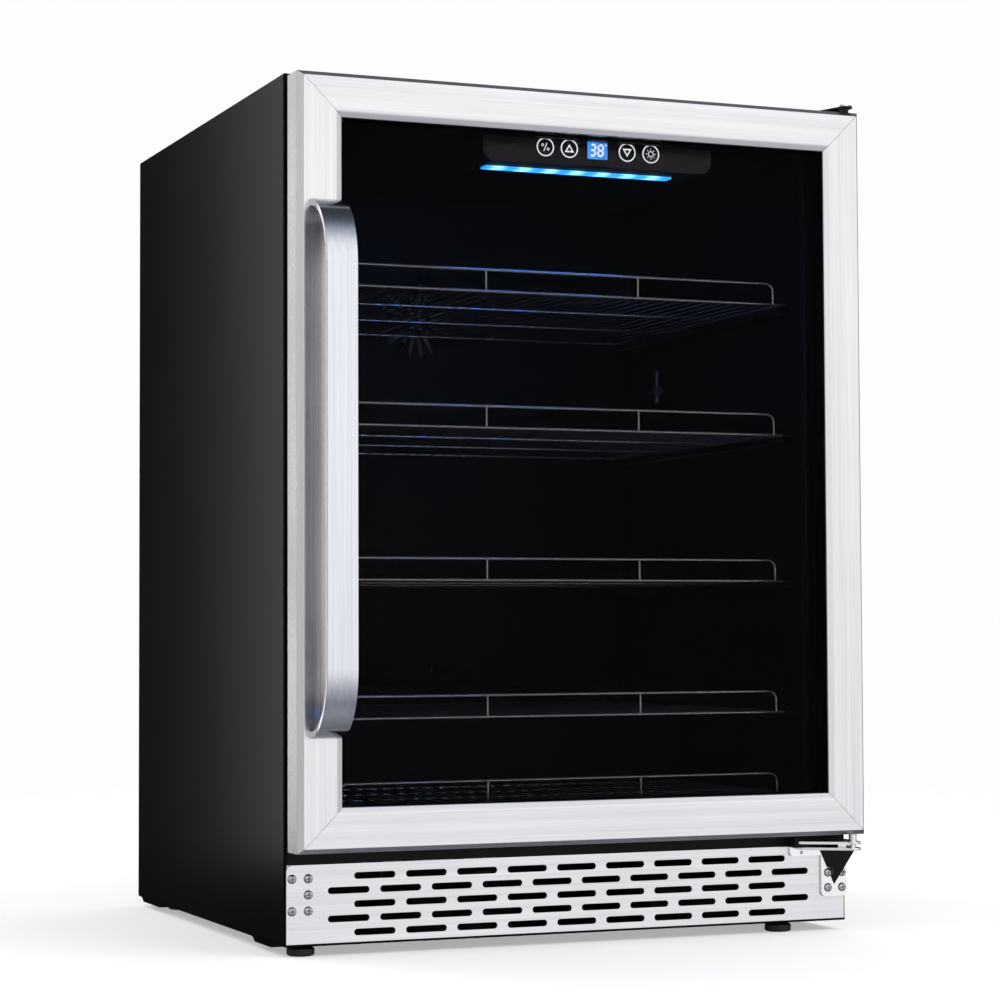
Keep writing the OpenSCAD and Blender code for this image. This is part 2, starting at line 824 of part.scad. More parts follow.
module evaporator() {
    half = 150;
    fin_pitch = 12;
    fin_t = 0.8;
    tube_r = 4;
    tube_end = 9;
    z0 = 330;
    z1 = 560;
    rows = 6;
    row_step = 38;
    color("#b9c0c6") {
        for (x = [-half : fin_pitch : half]) block(x, x + fin_t, duct_y + 10, duct_y + 42, z0, z1);
        for (row = [0 : rows - 1], y = [duct_y + 18, duct_y + 34])
            translate([-half - tube_end + e, y, z0 + 20 + row * row_step]) rotate([0, 90, 0])
                cylinder(r = tube_r, h = 2 * (half + tube_end));
    }
}

module evaporator_fan_motor() {
    color("#2c2f33") {
        rod_y(0, cold_fan_z, cold_fan_y + 13, cave_rear - 4, 20);
        rod_y(0, cold_fan_z, cold_fan_y - 4, cold_fan_y + 14, fan_shaft_r);
        block(-60, 60, cave_rear - 8, cave_rear, cold_fan_z - 8, cold_fan_z + 8);
    }
}

// Fan wheel along Z: a hub with pitched blades and a blind bore for the motor's shaft
module fan_wheel(r, depth, shaft) {
    difference() {
        union() {
            cylinder(r = fan_hub_r, h = depth);
            intersection() {
                cylinder(r = r, h = depth);
                for (n = [0 : fan_blades - 1]) rotate(n * 360 / fan_blades)
                    translate([fan_hub_r - 4, 0, depth / 2]) rotate([fan_pitch_deg, 0, 0])
                        translate([0, -fan_chord / 2, -fan_blade_t / 2]) cube([r, fan_chord, fan_blade_t]);
            }
        }
        translate([0, 0, 3]) cylinder(r = shaft + pin_gap, h = depth);
    }
}

module evaporator_fan_blade() {
    color("#e6e6e3") translate([0, cold_fan_y - 8, cold_fan_z]) rotate([-90, 0, 0])
        fan_wheel(cold_fan_r, fan_depth, fan_shaft_r);
}

// ---- Shelves ----

module shelf_ledges() {
    color("#0d0d0f") for (side = [-1, 1]) {
        x0 = side < 0 ? -cave_x : cave_x - ledge_w;
        for (z = shelf_z) {
            seat = z - wire_d / 2;
            block(x0, x0 + ledge_w, shelf_front + 4, shelf_rear - 4, max(seat - ledge_h, hump_top), seat);
        }
        block(x0, x0 + ledge_w, shelf_front + 4, rack_rear - 4, cave_floor, rack_z - wire_d / 2);
    }
}

// Outline of a grid of wires from above
module wire_grid(rear) {
    w = wire_d;
    wires = floor((2 * shelf_x - w) / wire_pitch / 2);
    len = rear - shelf_front;
    for (n = [-wires : wires]) translate([n * wire_pitch - w / 2, shelf_front]) square([w, len]);
    for (part = [0, 1 / 3, 2 / 3, 1])
        translate([-shelf_x, shelf_front + part * (len - w)]) square([2 * shelf_x, w]);
    for (side = [-1, 1])
        translate([side * (shelf_x - w / 2) - w / 2, shelf_front]) square([w, len]);
}

// Outline of a guard rail from the front: a hoop with round corners and two posts
module guard_outline() {
    w = wire_d;
    module hoop(x, top, r) {
        square_top = top - r;
        translate([-x, 0]) square([2 * x, square_top]);
        translate([-x + r, 0]) square([2 * (x - r), top]);
        for (side = [-1, 1]) translate([side * (x - r), square_top]) circle(r);
    }
    difference() {
        hoop(guard_x, guard_h, guard_corner);
        difference() {
            hoop(guard_x - w, guard_h - w, guard_corner - w);
            for (side = [-1, 1]) translate([side * guard_post_x - w / 2, -e]) square([w, guard_h + 2 * e]);
        }
    }
}

module wire_shelf(z, rear) {
    color("#1a1b1d") {
        translate([0, 0, z - wire_d / 2]) linear_extrude(wire_d) wire_grid(rear);
        depth_xz(shelf_front, shelf_front + wire_d) translate([0, z + wire_d / 2]) guard_outline();
    }
}

module shelf_1() { wire_shelf(shelf_z[0], shelf_rear); }
module shelf_2() { wire_shelf(shelf_z[1], shelf_rear); }
module shelf_3() { wire_shelf(shelf_z[2], shelf_rear); }
module shelf_4() { wire_shelf(shelf_z[3], shelf_rear); }
module bottom_rack() { wire_shelf(rack_z, rack_rear); }

// ---- Machine bay ----

mount_at = [for (x = [-1, 1], y = [-1, 1]) [comp_x + x * 78, comp_y + y * 56]];

module compressor() {
    color("#1d1e20") difference() {
        union() {
            translate([comp_x, comp_y, comp_z0]) {
                cylinder(r = comp_r - 6, h = comp_h * 0.5);
                translate([0, 0, comp_h * 0.45]) cylinder(r = comp_r, h = 6);
                translate([0, 0, comp_h - comp_r * 0.75]) intersection() {
                    sphere(r = comp_r - 4);
                    translate([0, 0, -20]) cylinder(r = comp_r - 6.5, h = 90);
                }
                translate([comp_stub[0], comp_stub[1], comp_h / 2])
                    cylinder(r = 4, h = comp_stub_top - comp_z0 - comp_h / 2);
            }
            block(comp_x - 92, comp_x + 92, comp_y - 68, comp_y + 68, comp_z0 - 3, comp_z0 + 0.5);
        }
        for (at = mount_at) translate([at[0], at[1], comp_z0 - 4]) cylinder(r = 7, h = 6);
    }
}

module compressor_mounts() {
    color("#0f0f10") for (at = mount_at)
        translate([at[0], at[1], grille_z0]) rotate_extrude()
            polygon([[0, 0], [10, 0], [10, comp_z0 - 3 - grille_z0], [6.9, comp_z0 - 3 - grille_z0],
                     [6.9, comp_z0 + 4 - grille_z0], [0, comp_z0 + 4 - grille_z0]]);
}

module condenser() {
    x0 = -215;
    x1 = -115;
    z0 = 30;
    z1 = 156;
    half = 62;
    fin_pitch = 10;
    fin_t = 1;
    tube_r = 3.2;
    tube_end = 6;
    row_step = 24;
    color("#3b3d40") {
        for (x = [x0 : fin_pitch : x1]) block(x, x + fin_t, warm_fan_y - half, warm_fan_y + half, z0, z1);
        for (z = [z0 + 14 : row_step : z1 - 12], dy = [-discharge_dy, 0, discharge_dy])
            translate([x0 - tube_end, warm_fan_y + dy, z]) rotate([0, 90, 0])
                cylinder(r = tube_r, h = x1 - x0 + 2 * tube_end);
    }
}

// Fan frame: a plate with a round opening, and the motor on a strut across it
module condenser_fan_frame() {
    x0 = warm_fan_x - 12;
    x1 = warm_fan_x + 26;
    y0 = warm_fan_y - 64;
    y1 = warm_fan_y + 64;
    z0 = warm_fan_z - 10;
    z1 = warm_fan_z + 10;
    plate_t = 3;
    bar_t = 4;
    motor_r = 18;
    motor_len = 15;
    color("#4a4c50") {
        difference() {
            block(x0, x0 + plate_t, y0, y1, grille_z0, warm_fan_z + 64);
            translate([x0 - e, warm_fan_y, warm_fan_z]) rotate([0, 90, 0])
                cylinder(r = warm_fan_r + 4, h = plate_t + 2 * e);
        }
        for (y = [y0, y1 - bar_t]) block(x0, x1 + bar_t, y, y + bar_t, z0, z1);
        block(x1, x1 + bar_t, y0, y1, z0, z1);
        translate([warm_fan_x + 12, warm_fan_y, warm_fan_z]) rotate([0, 90, 0])
            cylinder(r = motor_r, h = motor_len);
        translate([warm_fan_x - 2, warm_fan_y, warm_fan_z]) rotate([0, 90, 0])
            cylinder(r = fan_shaft_r, h = motor_len);
    }
}

module condenser_fan_blade() {
    color("#7c8084") translate([warm_fan_x - 8, warm_fan_y, warm_fan_z]) rotate([0, 90, 0])
        fan_wheel(warm_fan_r, fan_depth, fan_shaft_r);
}

module drain_pan() {
    z0 = 161;
    h = 16;
    x = 80;
    y = 60;
    t = 2;
    color("#c8c9c4") difference() {
        block(comp_x - x, comp_x + x, comp_y - y, comp_y + y, z0, z0 + h);
        block(comp_x - x + t, comp_x + x - t, comp_y - y + t, comp_y + y - t, z0 + t, z0 + h + e);
    }
}

// Pipe that carries hot gas from the compressor to the condenser, with a square elbow at each turn
module discharge_pipe() {
    r = 3;
    elbow = 9;
    z = 140;
    y = comp_y + 78;
    x1 = -98;
    x2 = -109;
    stub_x = comp_x + comp_stub[0];
    stub_y = comp_y + comp_stub[1];
    end_y = warm_fan_y + discharge_dy;
    color("#b06b3a") {
        translate([stub_x, stub_y, comp_stub_top]) cylinder(r = r, h = z - comp_stub_top);
        rod_y(stub_x, z, stub_y, y, r);
        translate([x1, y, z]) rotate([0, 90, 0]) cylinder(r = r, h = stub_x - x1);
        rod_y(x1, z, end_y, y, r);
        translate([x2, end_y, z]) rotate([0, 90, 0]) cylinder(r = r, h = x1 - x2);
        for (at = [[stub_x, stub_y], [stub_x, y], [x1, y], [x1, end_y]])
            translate([at[0], at[1], z]) cube(elbow, center = true);
    }
}

// Plastic box for the mains board, on the tray behind the grille
module power_box() {
    x0 = 110;
    x1 = 225;
    y0 = -150;
    y1 = -40;
    lip = 2;
    lid_z = grille_z0 + 30;
    top = grille_z0 + 37;
    color("#2e3034") difference() {
        union() {
            block(x0, x1, y0, y1, grille_z0, top - lip);
            block(x0 - lip, x1 + lip, y0 - lip, y1 + lip, lid_z, top);
        }
        for (x = [x0 + 15 : 12 : x1 - 15]) block(x, x + 5, y0 + 10, y0 + 55, top - 1, top + e);
    }
}

side_panel_left();
side_panel_right();
top_panel();
rear_panel();
rear_cover();
base_tray();
front_frame();
inner_liner();
foam_slabs();
corner_plates();
kick_grille();
grille_screws();
foot_front_left();
foot_front_right();
foot_rear_left();
foot_rear_right();
lower_hinge_bracket();
lower_hinge_pin();
hinge_gusset();
door_stop_block();
upper_hinge_plate();
hinge_screws();
door_left_stile();
door_right_stile();
door_top_rail();
door_bottom_rail();
door_inner_frame();
outer_glass();
glass_spacer();
inner_glass();
door_gasket();
handle();
handle_screws();
hinge_bushes();
control_housing();
control_window();
display_module();
control_board();
light_strip();
light_diffuser();
temperature_probe();
evaporator_cover();
evaporator();
evaporator_fan_motor();
evaporator_fan_blade();
shelf_ledges();
shelf_1();
shelf_2();
shelf_3();
shelf_4();
bottom_rack();
compressor();
compressor_mounts();
condenser();
condenser_fan_frame();
condenser_fan_blade();
drain_pan();
discharge_pipe();
power_box();
power_inlet();
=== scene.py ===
"""Looks of a glass-door beverage cooler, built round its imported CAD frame. Metres, +Z up, -Y front."""
import json
import math

import bmesh
import bpy
from mathutils import Matrix, Vector


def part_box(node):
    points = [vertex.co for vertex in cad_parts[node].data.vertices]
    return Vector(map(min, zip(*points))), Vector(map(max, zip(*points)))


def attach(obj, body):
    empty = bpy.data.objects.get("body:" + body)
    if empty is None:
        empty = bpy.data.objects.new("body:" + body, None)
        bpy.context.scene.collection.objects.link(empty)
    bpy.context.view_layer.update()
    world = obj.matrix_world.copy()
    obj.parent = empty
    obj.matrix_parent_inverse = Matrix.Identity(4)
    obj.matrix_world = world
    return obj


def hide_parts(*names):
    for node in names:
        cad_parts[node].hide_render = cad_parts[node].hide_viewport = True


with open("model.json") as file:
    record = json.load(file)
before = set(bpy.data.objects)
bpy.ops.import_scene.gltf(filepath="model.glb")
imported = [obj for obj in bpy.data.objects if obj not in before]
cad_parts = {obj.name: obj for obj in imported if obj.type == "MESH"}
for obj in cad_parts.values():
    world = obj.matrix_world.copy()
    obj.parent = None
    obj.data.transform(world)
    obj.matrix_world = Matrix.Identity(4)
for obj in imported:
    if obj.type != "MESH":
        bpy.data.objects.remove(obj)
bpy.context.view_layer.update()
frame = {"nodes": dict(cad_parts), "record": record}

MM = 0.001
scene = bpy.context.scene
nodes = frame["nodes"]
slot_of = {part["node"]: part["material_slot"] for part in frame["record"]["subparts"]}


# ---------------------------------------------------------------- node graphs

class Graph:
    """Short ways to add nodes to one node tree."""

    def __init__(self, tree):
        self.tree = tree

    def put(self, socket, value):
        """Links a socket to another node's output, or sets its value."""
        if isinstance(value, bpy.types.NodeSocket):
            self.tree.links.new(value, socket)
        else:
            socket.default_value = value

    def add(self, kind, inputs=None, **settings):
        """A new shader node, with its inputs by name or number and its settings by name."""
        node = self.tree.nodes.new("ShaderNode" + kind)
        for key, value in settings.items():
            setattr(node, key, value)
        for key, value in (inputs or {}).items():
            self.put(node.inputs[key], value)
        return node

    def place(self):
        """Where a point is in the piece's own space, in metres."""
        return self.add("TexCoord").outputs["Object"]

    def axis(self, name):
        """One coordinate of a point in the piece's own space: X, Y or Z."""
        return self.add("SeparateXYZ", {0: self.place()}).outputs[name]

    def noise(self, scale, stretch=(1, 1, 1), detail=2.0):
        """Noise near 0.5 with about scale features a metre, times stretch along each axis."""
        mapping = self.add("Mapping", {"Vector": self.place(), "Scale": [scale * s for s in stretch]})
        texture = self.add("TexNoise", {"Vector": mapping.outputs[0], "Scale": 1.0, "Detail": detail})
        return texture.outputs[0]

    def cells(self, scale, feature="F1", output="Distance"):
        """Irregular cells, about scale of them a metre."""
        texture = self.add("TexVoronoi", {"Vector": self.place(), "Scale": scale}, feature=feature)
        return texture.outputs[output]

    def remap(self, value, low, high, start=0.3, end=0.7, smooth=False):
        """The value from start to end, spread from low to high and clamped."""
        node = self.add("MapRange", {"Value": value, "From Min": start, "From Max": end,
                                     "To Min": low, "To Max": high})
        if smooth:
            node.interpolation_type = "SMOOTHSTEP"
        return node.outputs[0]

    def math(self, operation, first, second=0.0):
        """The result of a sum on one or two values."""
        return self.add("Math", {0: first, 1: second}, operation=operation).outputs[0]

    def blend(self, factor, first, second):
        """From the first colour to the second as factor goes from 0 to 1."""
        mix = self.add("Mix", data_type="RGBA")
        for index, value in ((0, factor), (6, first), (7, second)):
            self.put(mix.inputs[index], value)
        return mix.outputs[2]

    def bump(self, height, depth):
        """Relief of the given depth in metres, where height goes from 0 to 1."""
        return self.add("Bump", {"Height": height, "Strength": 1.0, "Distance": depth}).outputs[0]


def rgb(red, green, blue):
    """An opaque colour from linear values."""
    return (red, green, blue, 1.0)


def new_surface(name, **constants):
    """A material with its graph and shader. Underscores in a constant's name stand for spaces."""
    material = bpy.data.materials.new(name)
    material.use_nodes = True
    shader = material.node_tree.nodes["Principled BSDF"]
    for key, value in constants.items():
        shader.inputs[key.replace("_", " ")].default_value = value
    return material, Graph(material.node_tree), shader


def finish(name, dark, light, rough, grain, stretch=(1, 1, 1), relief=0.0, **constants):
    """A surface whose colour, gloss and relief vary with a fine grain and with large soft patches."""
    material, graph, shader = new_surface(name, **constants)
    fine = graph.noise(grain, stretch, detail=3.0)
    wide = graph.noise(4, detail=2.0)
    mixed = graph.math("ADD", graph.math("MULTIPLY", fine, 0.65), graph.math("MULTIPLY", wide, 0.35))
    graph.put(shader.inputs["Base Color"], graph.blend(graph.remap(mixed, 0, 1), rgb(*dark), rgb(*light)))
    graph.put(shader.inputs["Roughness"], graph.remap(mixed, rough[0], rough[1]))
    if relief:
        graph.put(shader.inputs["Normal"], graph.bump(fine, relief))
    return material


# ---------------------------------------------------------------- materials

def brushed_steel(name, grain_axis, tint=(1.0, 0.995, 1.02), rough=(0.22, 0.33)):
    """Steel brushed along one axis: fine scratches over wider bands, and faint handling marks."""
    material, graph, shader = new_surface(name, Metallic=1.0)
    along = {"X": (0.006, 1, 1), "Z": (1, 1, 0.006)}[grain_axis]
    scratch = graph.noise(1500, along, detail=4.0)
    band = graph.noise(240, along, detail=2.0)
    marks = graph.noise(9, detail=3.0)
    streak = graph.math("ADD", graph.math("MULTIPLY", scratch, 0.5), graph.math("MULTIPLY", band, 0.5))
    dark = rgb(*(0.55 * share for share in tint))
    light = rgb(*(0.69 * share for share in tint))
    graph.put(shader.inputs["Base Color"], graph.blend(graph.remap(streak, 0, 1, 0.35, 0.65), dark, light))
    worn = graph.math("ADD", streak, graph.remap(marks, -0.08, 0.08))
    graph.put(shader.inputs["Roughness"], graph.remap(worn, rough[0], rough[1]))
    graph.put(shader.inputs["Normal"], graph.bump(streak, 0.00004))
    return material


def galvanised():
    """Zinc spangle: flat grains a few millimetres across."""
    material, graph, shader = new_surface("galvanised", Metallic=1.0)
    grain = graph.add("SeparateColor", {0: graph.cells(160, output="Color")}).outputs[0]
    graph.put(shader.inputs["Base Color"], graph.blend(grain, rgb(0.38, 0.39, 0.41), rgb(0.56, 0.57, 0.59)))
    graph.put(shader.inputs["Roughness"], graph.remap(grain, 0.3, 0.5, 0, 1))
    return material


def foam():
    """Rigid foam with open cells at its cut faces."""
    material, graph, shader = new_surface("foam")
    cell = graph.cells(700)
    graph.put(shader.inputs["Base Color"], graph.blend(graph.remap(cell, 0, 1, 0, 0.6),
                                                       rgb(0.5, 0.42, 0.24), rgb(0.78, 0.72, 0.5)))
    graph.put(shader.inputs["Roughness"], graph.remap(cell, 0.95, 0.8, 0, 0.6))
    graph.put(shader.inputs["Normal"], graph.bump(cell, 0.0004))
    return material


def tinted_glass():
    """Glass that lets light straight through, reflects more at low angles and has faint dust."""
    material, graph, shader = new_surface("tinted_glass", Specular_IOR_Level=0.06)
    dust = graph.noise(900, detail=4.0)
    rim = graph.add("LayerWeight", {"Blend": 0.25}).outputs["Facing"]
    graph.put(shader.inputs["Base Color"], graph.blend(graph.remap(dust, 0, 1, 0.55, 0.8),
                                                       rgb(0.001, 0.0012, 0.0016), rgb(0.006, 0.0066, 0.008)))
    graph.put(shader.inputs["Roughness"], graph.remap(dust, 0.02, 0.08))
    graph.put(shader.inputs["Alpha"], graph.remap(rim, 0.08, 0.6, 0.35, 1.0))
    return material


def circuit_board():
    """Green solder mask with lighter tracks under it."""
    material, graph, shader = new_surface("circuit_board", Coat_Weight=0.4)
    track = graph.cells(260, feature="DISTANCE_TO_EDGE")
    line = graph.remap(track, 1, 0, 0.02, 0.06)
    graph.put(shader.inputs["Base Color"], graph.blend(line, rgb(0.004, 0.07, 0.02), rgb(0.05, 0.24, 0.08)))
    graph.put(shader.inputs["Roughness"], graph.remap(line, 0.3, 0.4, 0, 1))
    graph.put(shader.inputs["Normal"], graph.bump(line, 0.00005))
    return material


def lamp_cover():
    """Frosted cover lit from behind: a cyan glow with a whiter spot over each lamp."""
    material, graph, shader = new_surface("lamp_cover", Emission_Strength=2.4)
    pitch = 28 * MM
    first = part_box("light_diffuser")[0].x + pitch / 2
    cycle = graph.math("PINGPONG", graph.math("SUBTRACT", graph.axis("X"), first - 20 * pitch), pitch / 2)
    frost = graph.noise(600, detail=2.0)
    spot = graph.remap(cycle, 1, 0, 0, pitch * 0.42, smooth=True)
    glow = graph.blend(graph.math("MULTIPLY", spot, graph.remap(frost, 0.7, 1.0)),
                       rgb(0.0, 0.19, 0.82), rgb(0.3, 0.74, 1.0))
    graph.put(shader.inputs["Emission Color"], glow)
    graph.put(shader.inputs["Base Color"], graph.blend(frost, rgb(0.1, 0.45, 0.7), rgb(0.2, 0.6, 0.8)))
    graph.put(shader.inputs["Roughness"], graph.remap(frost, 0.4, 0.6))
    return material


def lit_screen():
    """Backlit screen: unevenly bright, with a fine grid of picture cells."""
    material, graph, shader = new_surface("lit_screen", Emission_Strength=1.2)
    cell = graph.cells(1400)
    wide = graph.noise(60, detail=1.0)
    glow = graph.blend(graph.remap(wide, 0, 1), rgb(0.01, 0.16, 0.66), rgb(0.06, 0.36, 0.95))
    graph.put(shader.inputs["Emission Color"], glow)
    graph.put(shader.inputs["Base Color"], graph.blend(cell, rgb(0.0, 0.05, 0.2), rgb(0.0, 0.08, 0.3)))
    graph.put(shader.inputs["Roughness"], graph.remap(cell, 0.15, 0.25, 0, 0.6))
    return material


def lit_print():
    """White symbols lit from behind, a little uneven as printed film is."""
    material, graph, shader = new_surface("lit_print", Emission_Strength=1.15)
    ink = graph.noise(1800, detail=3.0)
    graph.put(shader.inputs["Emission Color"], graph.blend(graph.remap(ink, 0, 1),
                                                           rgb(0.62, 0.64, 0.68), rgb(0.95, 0.96, 1.0)))
    graph.put(shader.inputs["Base Color"], graph.blend(ink, rgb(0.5, 0.5, 0.52), rgb(0.7, 0.7, 0.72)))
    graph.put(shader.inputs["Roughness"], graph.remap(ink, 0.3, 0.45))
    return material


def pale_floor():
    """Pale studio floor that fades into the backdrop away from the cooler."""
    material, graph, shader = new_surface("pale_floor", Specular_IOR_Level=0.1)
    wide = graph.noise(3, detail=2.0)
    distance = graph.add("VectorMath", {0: graph.place()}, operation="LENGTH").outputs["Value"]
    graph.put(shader.inputs["Base Color"], graph.blend(wide, rgb(0.93, 0.93, 0.935), rgb(0.96, 0.96, 0.965)))
    graph.put(shader.inputs["Roughness"], graph.remap(wide, 0.6, 0.75))
    graph.put(shader.inputs["Alpha"], graph.remap(distance, 0.6, 0, 1.2, 2.6, smooth=True))
    return material


BLACK = (0.003, 0.003, 0.0034)
SOFT_BLACK = (0.0065, 0.0065, 0.0072)

materials = {
    "brushed_steel": brushed_steel("brushed_steel_across", "X"),
    "brushed_upright": brushed_steel("brushed_steel_upright", "Z"),
    "handle_steel": brushed_steel("handle_steel", "Z", (0.88, 0.895, 0.96), (0.13, 0.19)),
    "black_steel": finish("black_steel", (0.0011, 0.001, 0.0019), (0.0023, 0.0022, 0.0038), (0.18, 0.25),
                          1100, relief=0.00002, Specular_IOR_Level=0.03),
    "black_plastic": finish("black_plastic", BLACK, SOFT_BLACK, (0.42, 0.56), 1600, relief=0.00006,
                            Specular_IOR_Level=0.1),
    "liner_plastic": finish("liner_plastic", (0.0007, 0.0007, 0.0009), (0.0018, 0.0018, 0.0022),
                            (0.42, 0.55), 700, relief=0.00003, Specular_IOR_Level=0.06),
    # Painted light: a lighter grey than the black steel for the rear panel and rear cover, standing in for
    # the light that the back of the cooler lacks.
    "rear_paint_as_painted_light": finish("rear_paint_as_painted_light", (0.012, 0.012, 0.0135), (0.021, 0.021, 0.023), (0.45, 0.6), 900,
                         relief=0.00006, Specular_IOR_Level=0.3),
    "foam": foam(),
    "bright_steel": finish("bright_steel", (0.58, 0.58, 0.59), (0.76, 0.76, 0.77), (0.12, 0.24), 1400,
                           stretch=(0.2, 1, 1), relief=0.00001, Metallic=1.0),
    "screw_steel": finish("screw_steel", (0.4, 0.4, 0.41), (0.56, 0.56, 0.57), (0.07, 0.15), 1800,
                          relief=0.000004, Metallic=1.0),
    "black_metal": finish("black_metal", (0.004, 0.004, 0.005), (0.009, 0.009, 0.010), (0.3, 0.45), 1200,
                          relief=0.00003, Specular_IOR_Level=0.25),
    "tinted_glass": tinted_glass(),
    "aluminium": finish("aluminium", (0.55, 0.56, 0.58), (0.68, 0.69, 0.71), (0.3, 0.42), 900,
                        stretch=(1, 1, 0.02), relief=0.00001, Metallic=1.0),
    "gasket_rubber": finish("gasket_rubber", BLACK, SOFT_BLACK, (0.5, 0.66), 900, relief=0.00004,
                            Specular_IOR_Level=0.15),
    "foot_rubber": finish("foot_rubber", BLACK, SOFT_BLACK, (0.5, 0.65), 1300, relief=0.00008,
                          Specular_IOR_Level=0.3),
    "gloss_black": finish("gloss_black", (0.009, 0.0065, 0.011), (0.013, 0.0095, 0.016), (0.1, 0.18), 500,
                          relief=0.000004, Specular_IOR_Level=0.15),
    "display_blue": lit_screen(),
    "lit_print": lit_print(),
    "circuit_green": circuit_board(),
    "lamp_white": finish("lamp_white", (0.7, 0.74, 0.8), (0.85, 0.88, 0.92), (0.3, 0.45), 1500,
                         relief=0.00002),
    "lamp_cover": lamp_cover(),
    "fan_plastic": finish("fan_plastic", (0.10, 0.10, 0.10), (0.15, 0.15, 0.15), (0.4, 0.52), 1200,
                          relief=0.00004),
    "motor_grey": finish("motor_grey", (0.05, 0.055, 0.06), (0.075, 0.08, 0.088), (0.35, 0.5), 1300,
                         relief=0.00004, Metallic=0.6),
    "shelf_wire": finish("shelf_wire", (0.2, 0.2, 0.21), (0.3, 0.3, 0.315), (0.15, 0.25), 1600,
                         relief=0.00003, Metallic=0.9),
    "galvanised": galvanised(),
    "copper": finish("copper", (0.56, 0.22, 0.1), (0.72, 0.34, 0.18), (0.22, 0.38), 500,
                     stretch=(0.1, 1, 1), relief=0.00002, Metallic=1.0),
}

for name, obj in nodes.items():
    obj.data.materials.clear()
    obj.data.materials.append(materials[slot_of[name]])
for name in ("inner_liner", "shelf_ledges", "evaporator_cover", "glass_spacer", "door_inner_frame"):
    nodes[name].data.materials[0] = materials["liner_plastic"]
# The rear panel and rear cover take the lighter grey, painted light for the dimly lit back.
for name in ("rear_panel", "rear_cover"):
    nodes[name].data.materials[0] = materials["rear_paint_as_painted_light"]
nodes["temperature_probe"].data.materials[0] = materials["motor_grey"]


# ---------------------------------------------------------------- mesh helpers

def add_piece(obj, material, body, slot, *replaced):
    """Gives a new piece its material and body, and hides the CAD nodes that it stands for. Its slot argument
    is not used.
    """
    obj.data.materials.clear()
    obj.data.materials.append(materials[material])
    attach(obj, body)
    if replaced:
        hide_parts(*replaced)
    return obj


def shade(mesh, sharp_deg):
    """Smooths across edges under sharp_deg, led by the larger faces so that flat ones stay flat."""
    limit = math.cos(math.radians(sharp_deg))
    touching = [[] for _ in mesh.vertices]
    for face in mesh.polygons:
        for index in face.vertices:
            touching[index].append((face.normal.copy(), face.area))
    normals = []
    for face in mesh.polygons:
        for index in face.vertices:
            total = Vector()
            for normal, area in touching[index]:
                if normal.dot(face.normal) >= limit:
                    total += normal * area
            normals.append(total.normalized())
    mesh.polygons.foreach_set("use_smooth", [True] * len(mesh.polygons))
    mesh.normals_split_custom_set(normals)


def mesh_object(name, points, faces, sharp_deg=40, weld=False):
    """A closed mesh, smooth-shaded except across edges over sharp_deg. weld joins points that coincide."""
    mesh = bpy.data.meshes.new(name)
    mesh.from_pydata(points, [], faces)
    work = bmesh.new()
    work.from_mesh(mesh)
    if weld:
        bmesh.ops.remove_doubles(work, verts=work.verts, dist=0.001 * MM)
    bmesh.ops.recalc_face_normals(work, faces=work.faces)
    work.to_mesh(mesh)
    work.free()
    mesh.update()
    shade(mesh, sharp_deg)
    obj = bpy.data.objects.new(name, mesh)
    scene.collection.objects.link(obj)
    return obj


class Shape:
    """Points and faces gathered for one mesh."""

    def __init__(self):
        self.points = []
        self.faces = []

    def skin(self, rings, closed=False):
        """Joins rings of equally many points. An open run of rings gets a cap at each end."""
        first, size = len(self.points), len(rings[0])
        for ring in rings:
            self.points.extend(ring)
        last = len(rings) if closed else len(rings) - 1
        for row in range(last):
            here, there = first + row * size, first + (row + 1) % len(rings) * size
            for i in range(size):
                j = (i + 1) % size
                self.faces.append((here + i, here + j, there + j, there + i))
        if not closed:
            self.faces.append(tuple(range(first, first + size)))
            self.faces.append(tuple(range(first + (len(rings) - 1) * size, first + len(rings) * size)))

    def wire(self, path, radius, sides=10, closed=False):
        """A round wire along a path in one plane or straight, with soft ends."""
        count = len(path)
        rings = []
        for i, point in enumerate(path):
            before = path[i - 1] if i or closed else point
            after = path[(i + 1) % count] if i + 1 < count or closed else point
            along = (after - before).normalized()
            side = along.cross(Vector((0, 0, 1)))
            if side.length < 0.5:
                side = along.cross(Vector((1, 0, 0)))
            side.normalize()
            up = side.cross(along)
            rings.append([point + (side * math.cos(a) + up * math.sin(a)) * radius
                          for a in (2 * math.pi * k / sides for k in range(sides))])
        if not closed:
            rings = [tip_ring(path[0], path[1], rings[0])] + rings + [tip_ring(path[-1], path[-2], rings[-1])]
        self.skin(rings, closed)

    def lathe(self, outline, centre, axis="Z", sides=48, ripple=None):
        """Turns an outline of (radius, height) about an axis through centre. ripple adds to the radius."""
        rings = []
        for radius, height in outline:
            ring = []
            for k in range(sides):
                angle = 2 * math.pi * k / sides
                r = radius + (ripple(radius, height, angle) if ripple else 0.0)
                x, y = r * math.cos(angle), r * math.sin(angle)
                offset = {"Z": (x, y, height), "Y": (x, height, y), "X": (height, x, y)}[axis]
                ring.append(centre + Vector(offset))
            rings.append(ring)
        self.skin(rings)

    def object(self, name, sharp_deg=40, weld=False):
        """The gathered mesh as an object."""
        return mesh_object(name, self.points, self.faces, sharp_deg, weld)


def tip_ring(end, inner, ring):
    """A smaller ring just past a wire's end, which rounds it off."""
    outward = (end - inner).normalized()
    radius = (ring[0] - end).length
    return [end + (point - end) * 0.6 + outward * radius * 0.3 for point in ring]


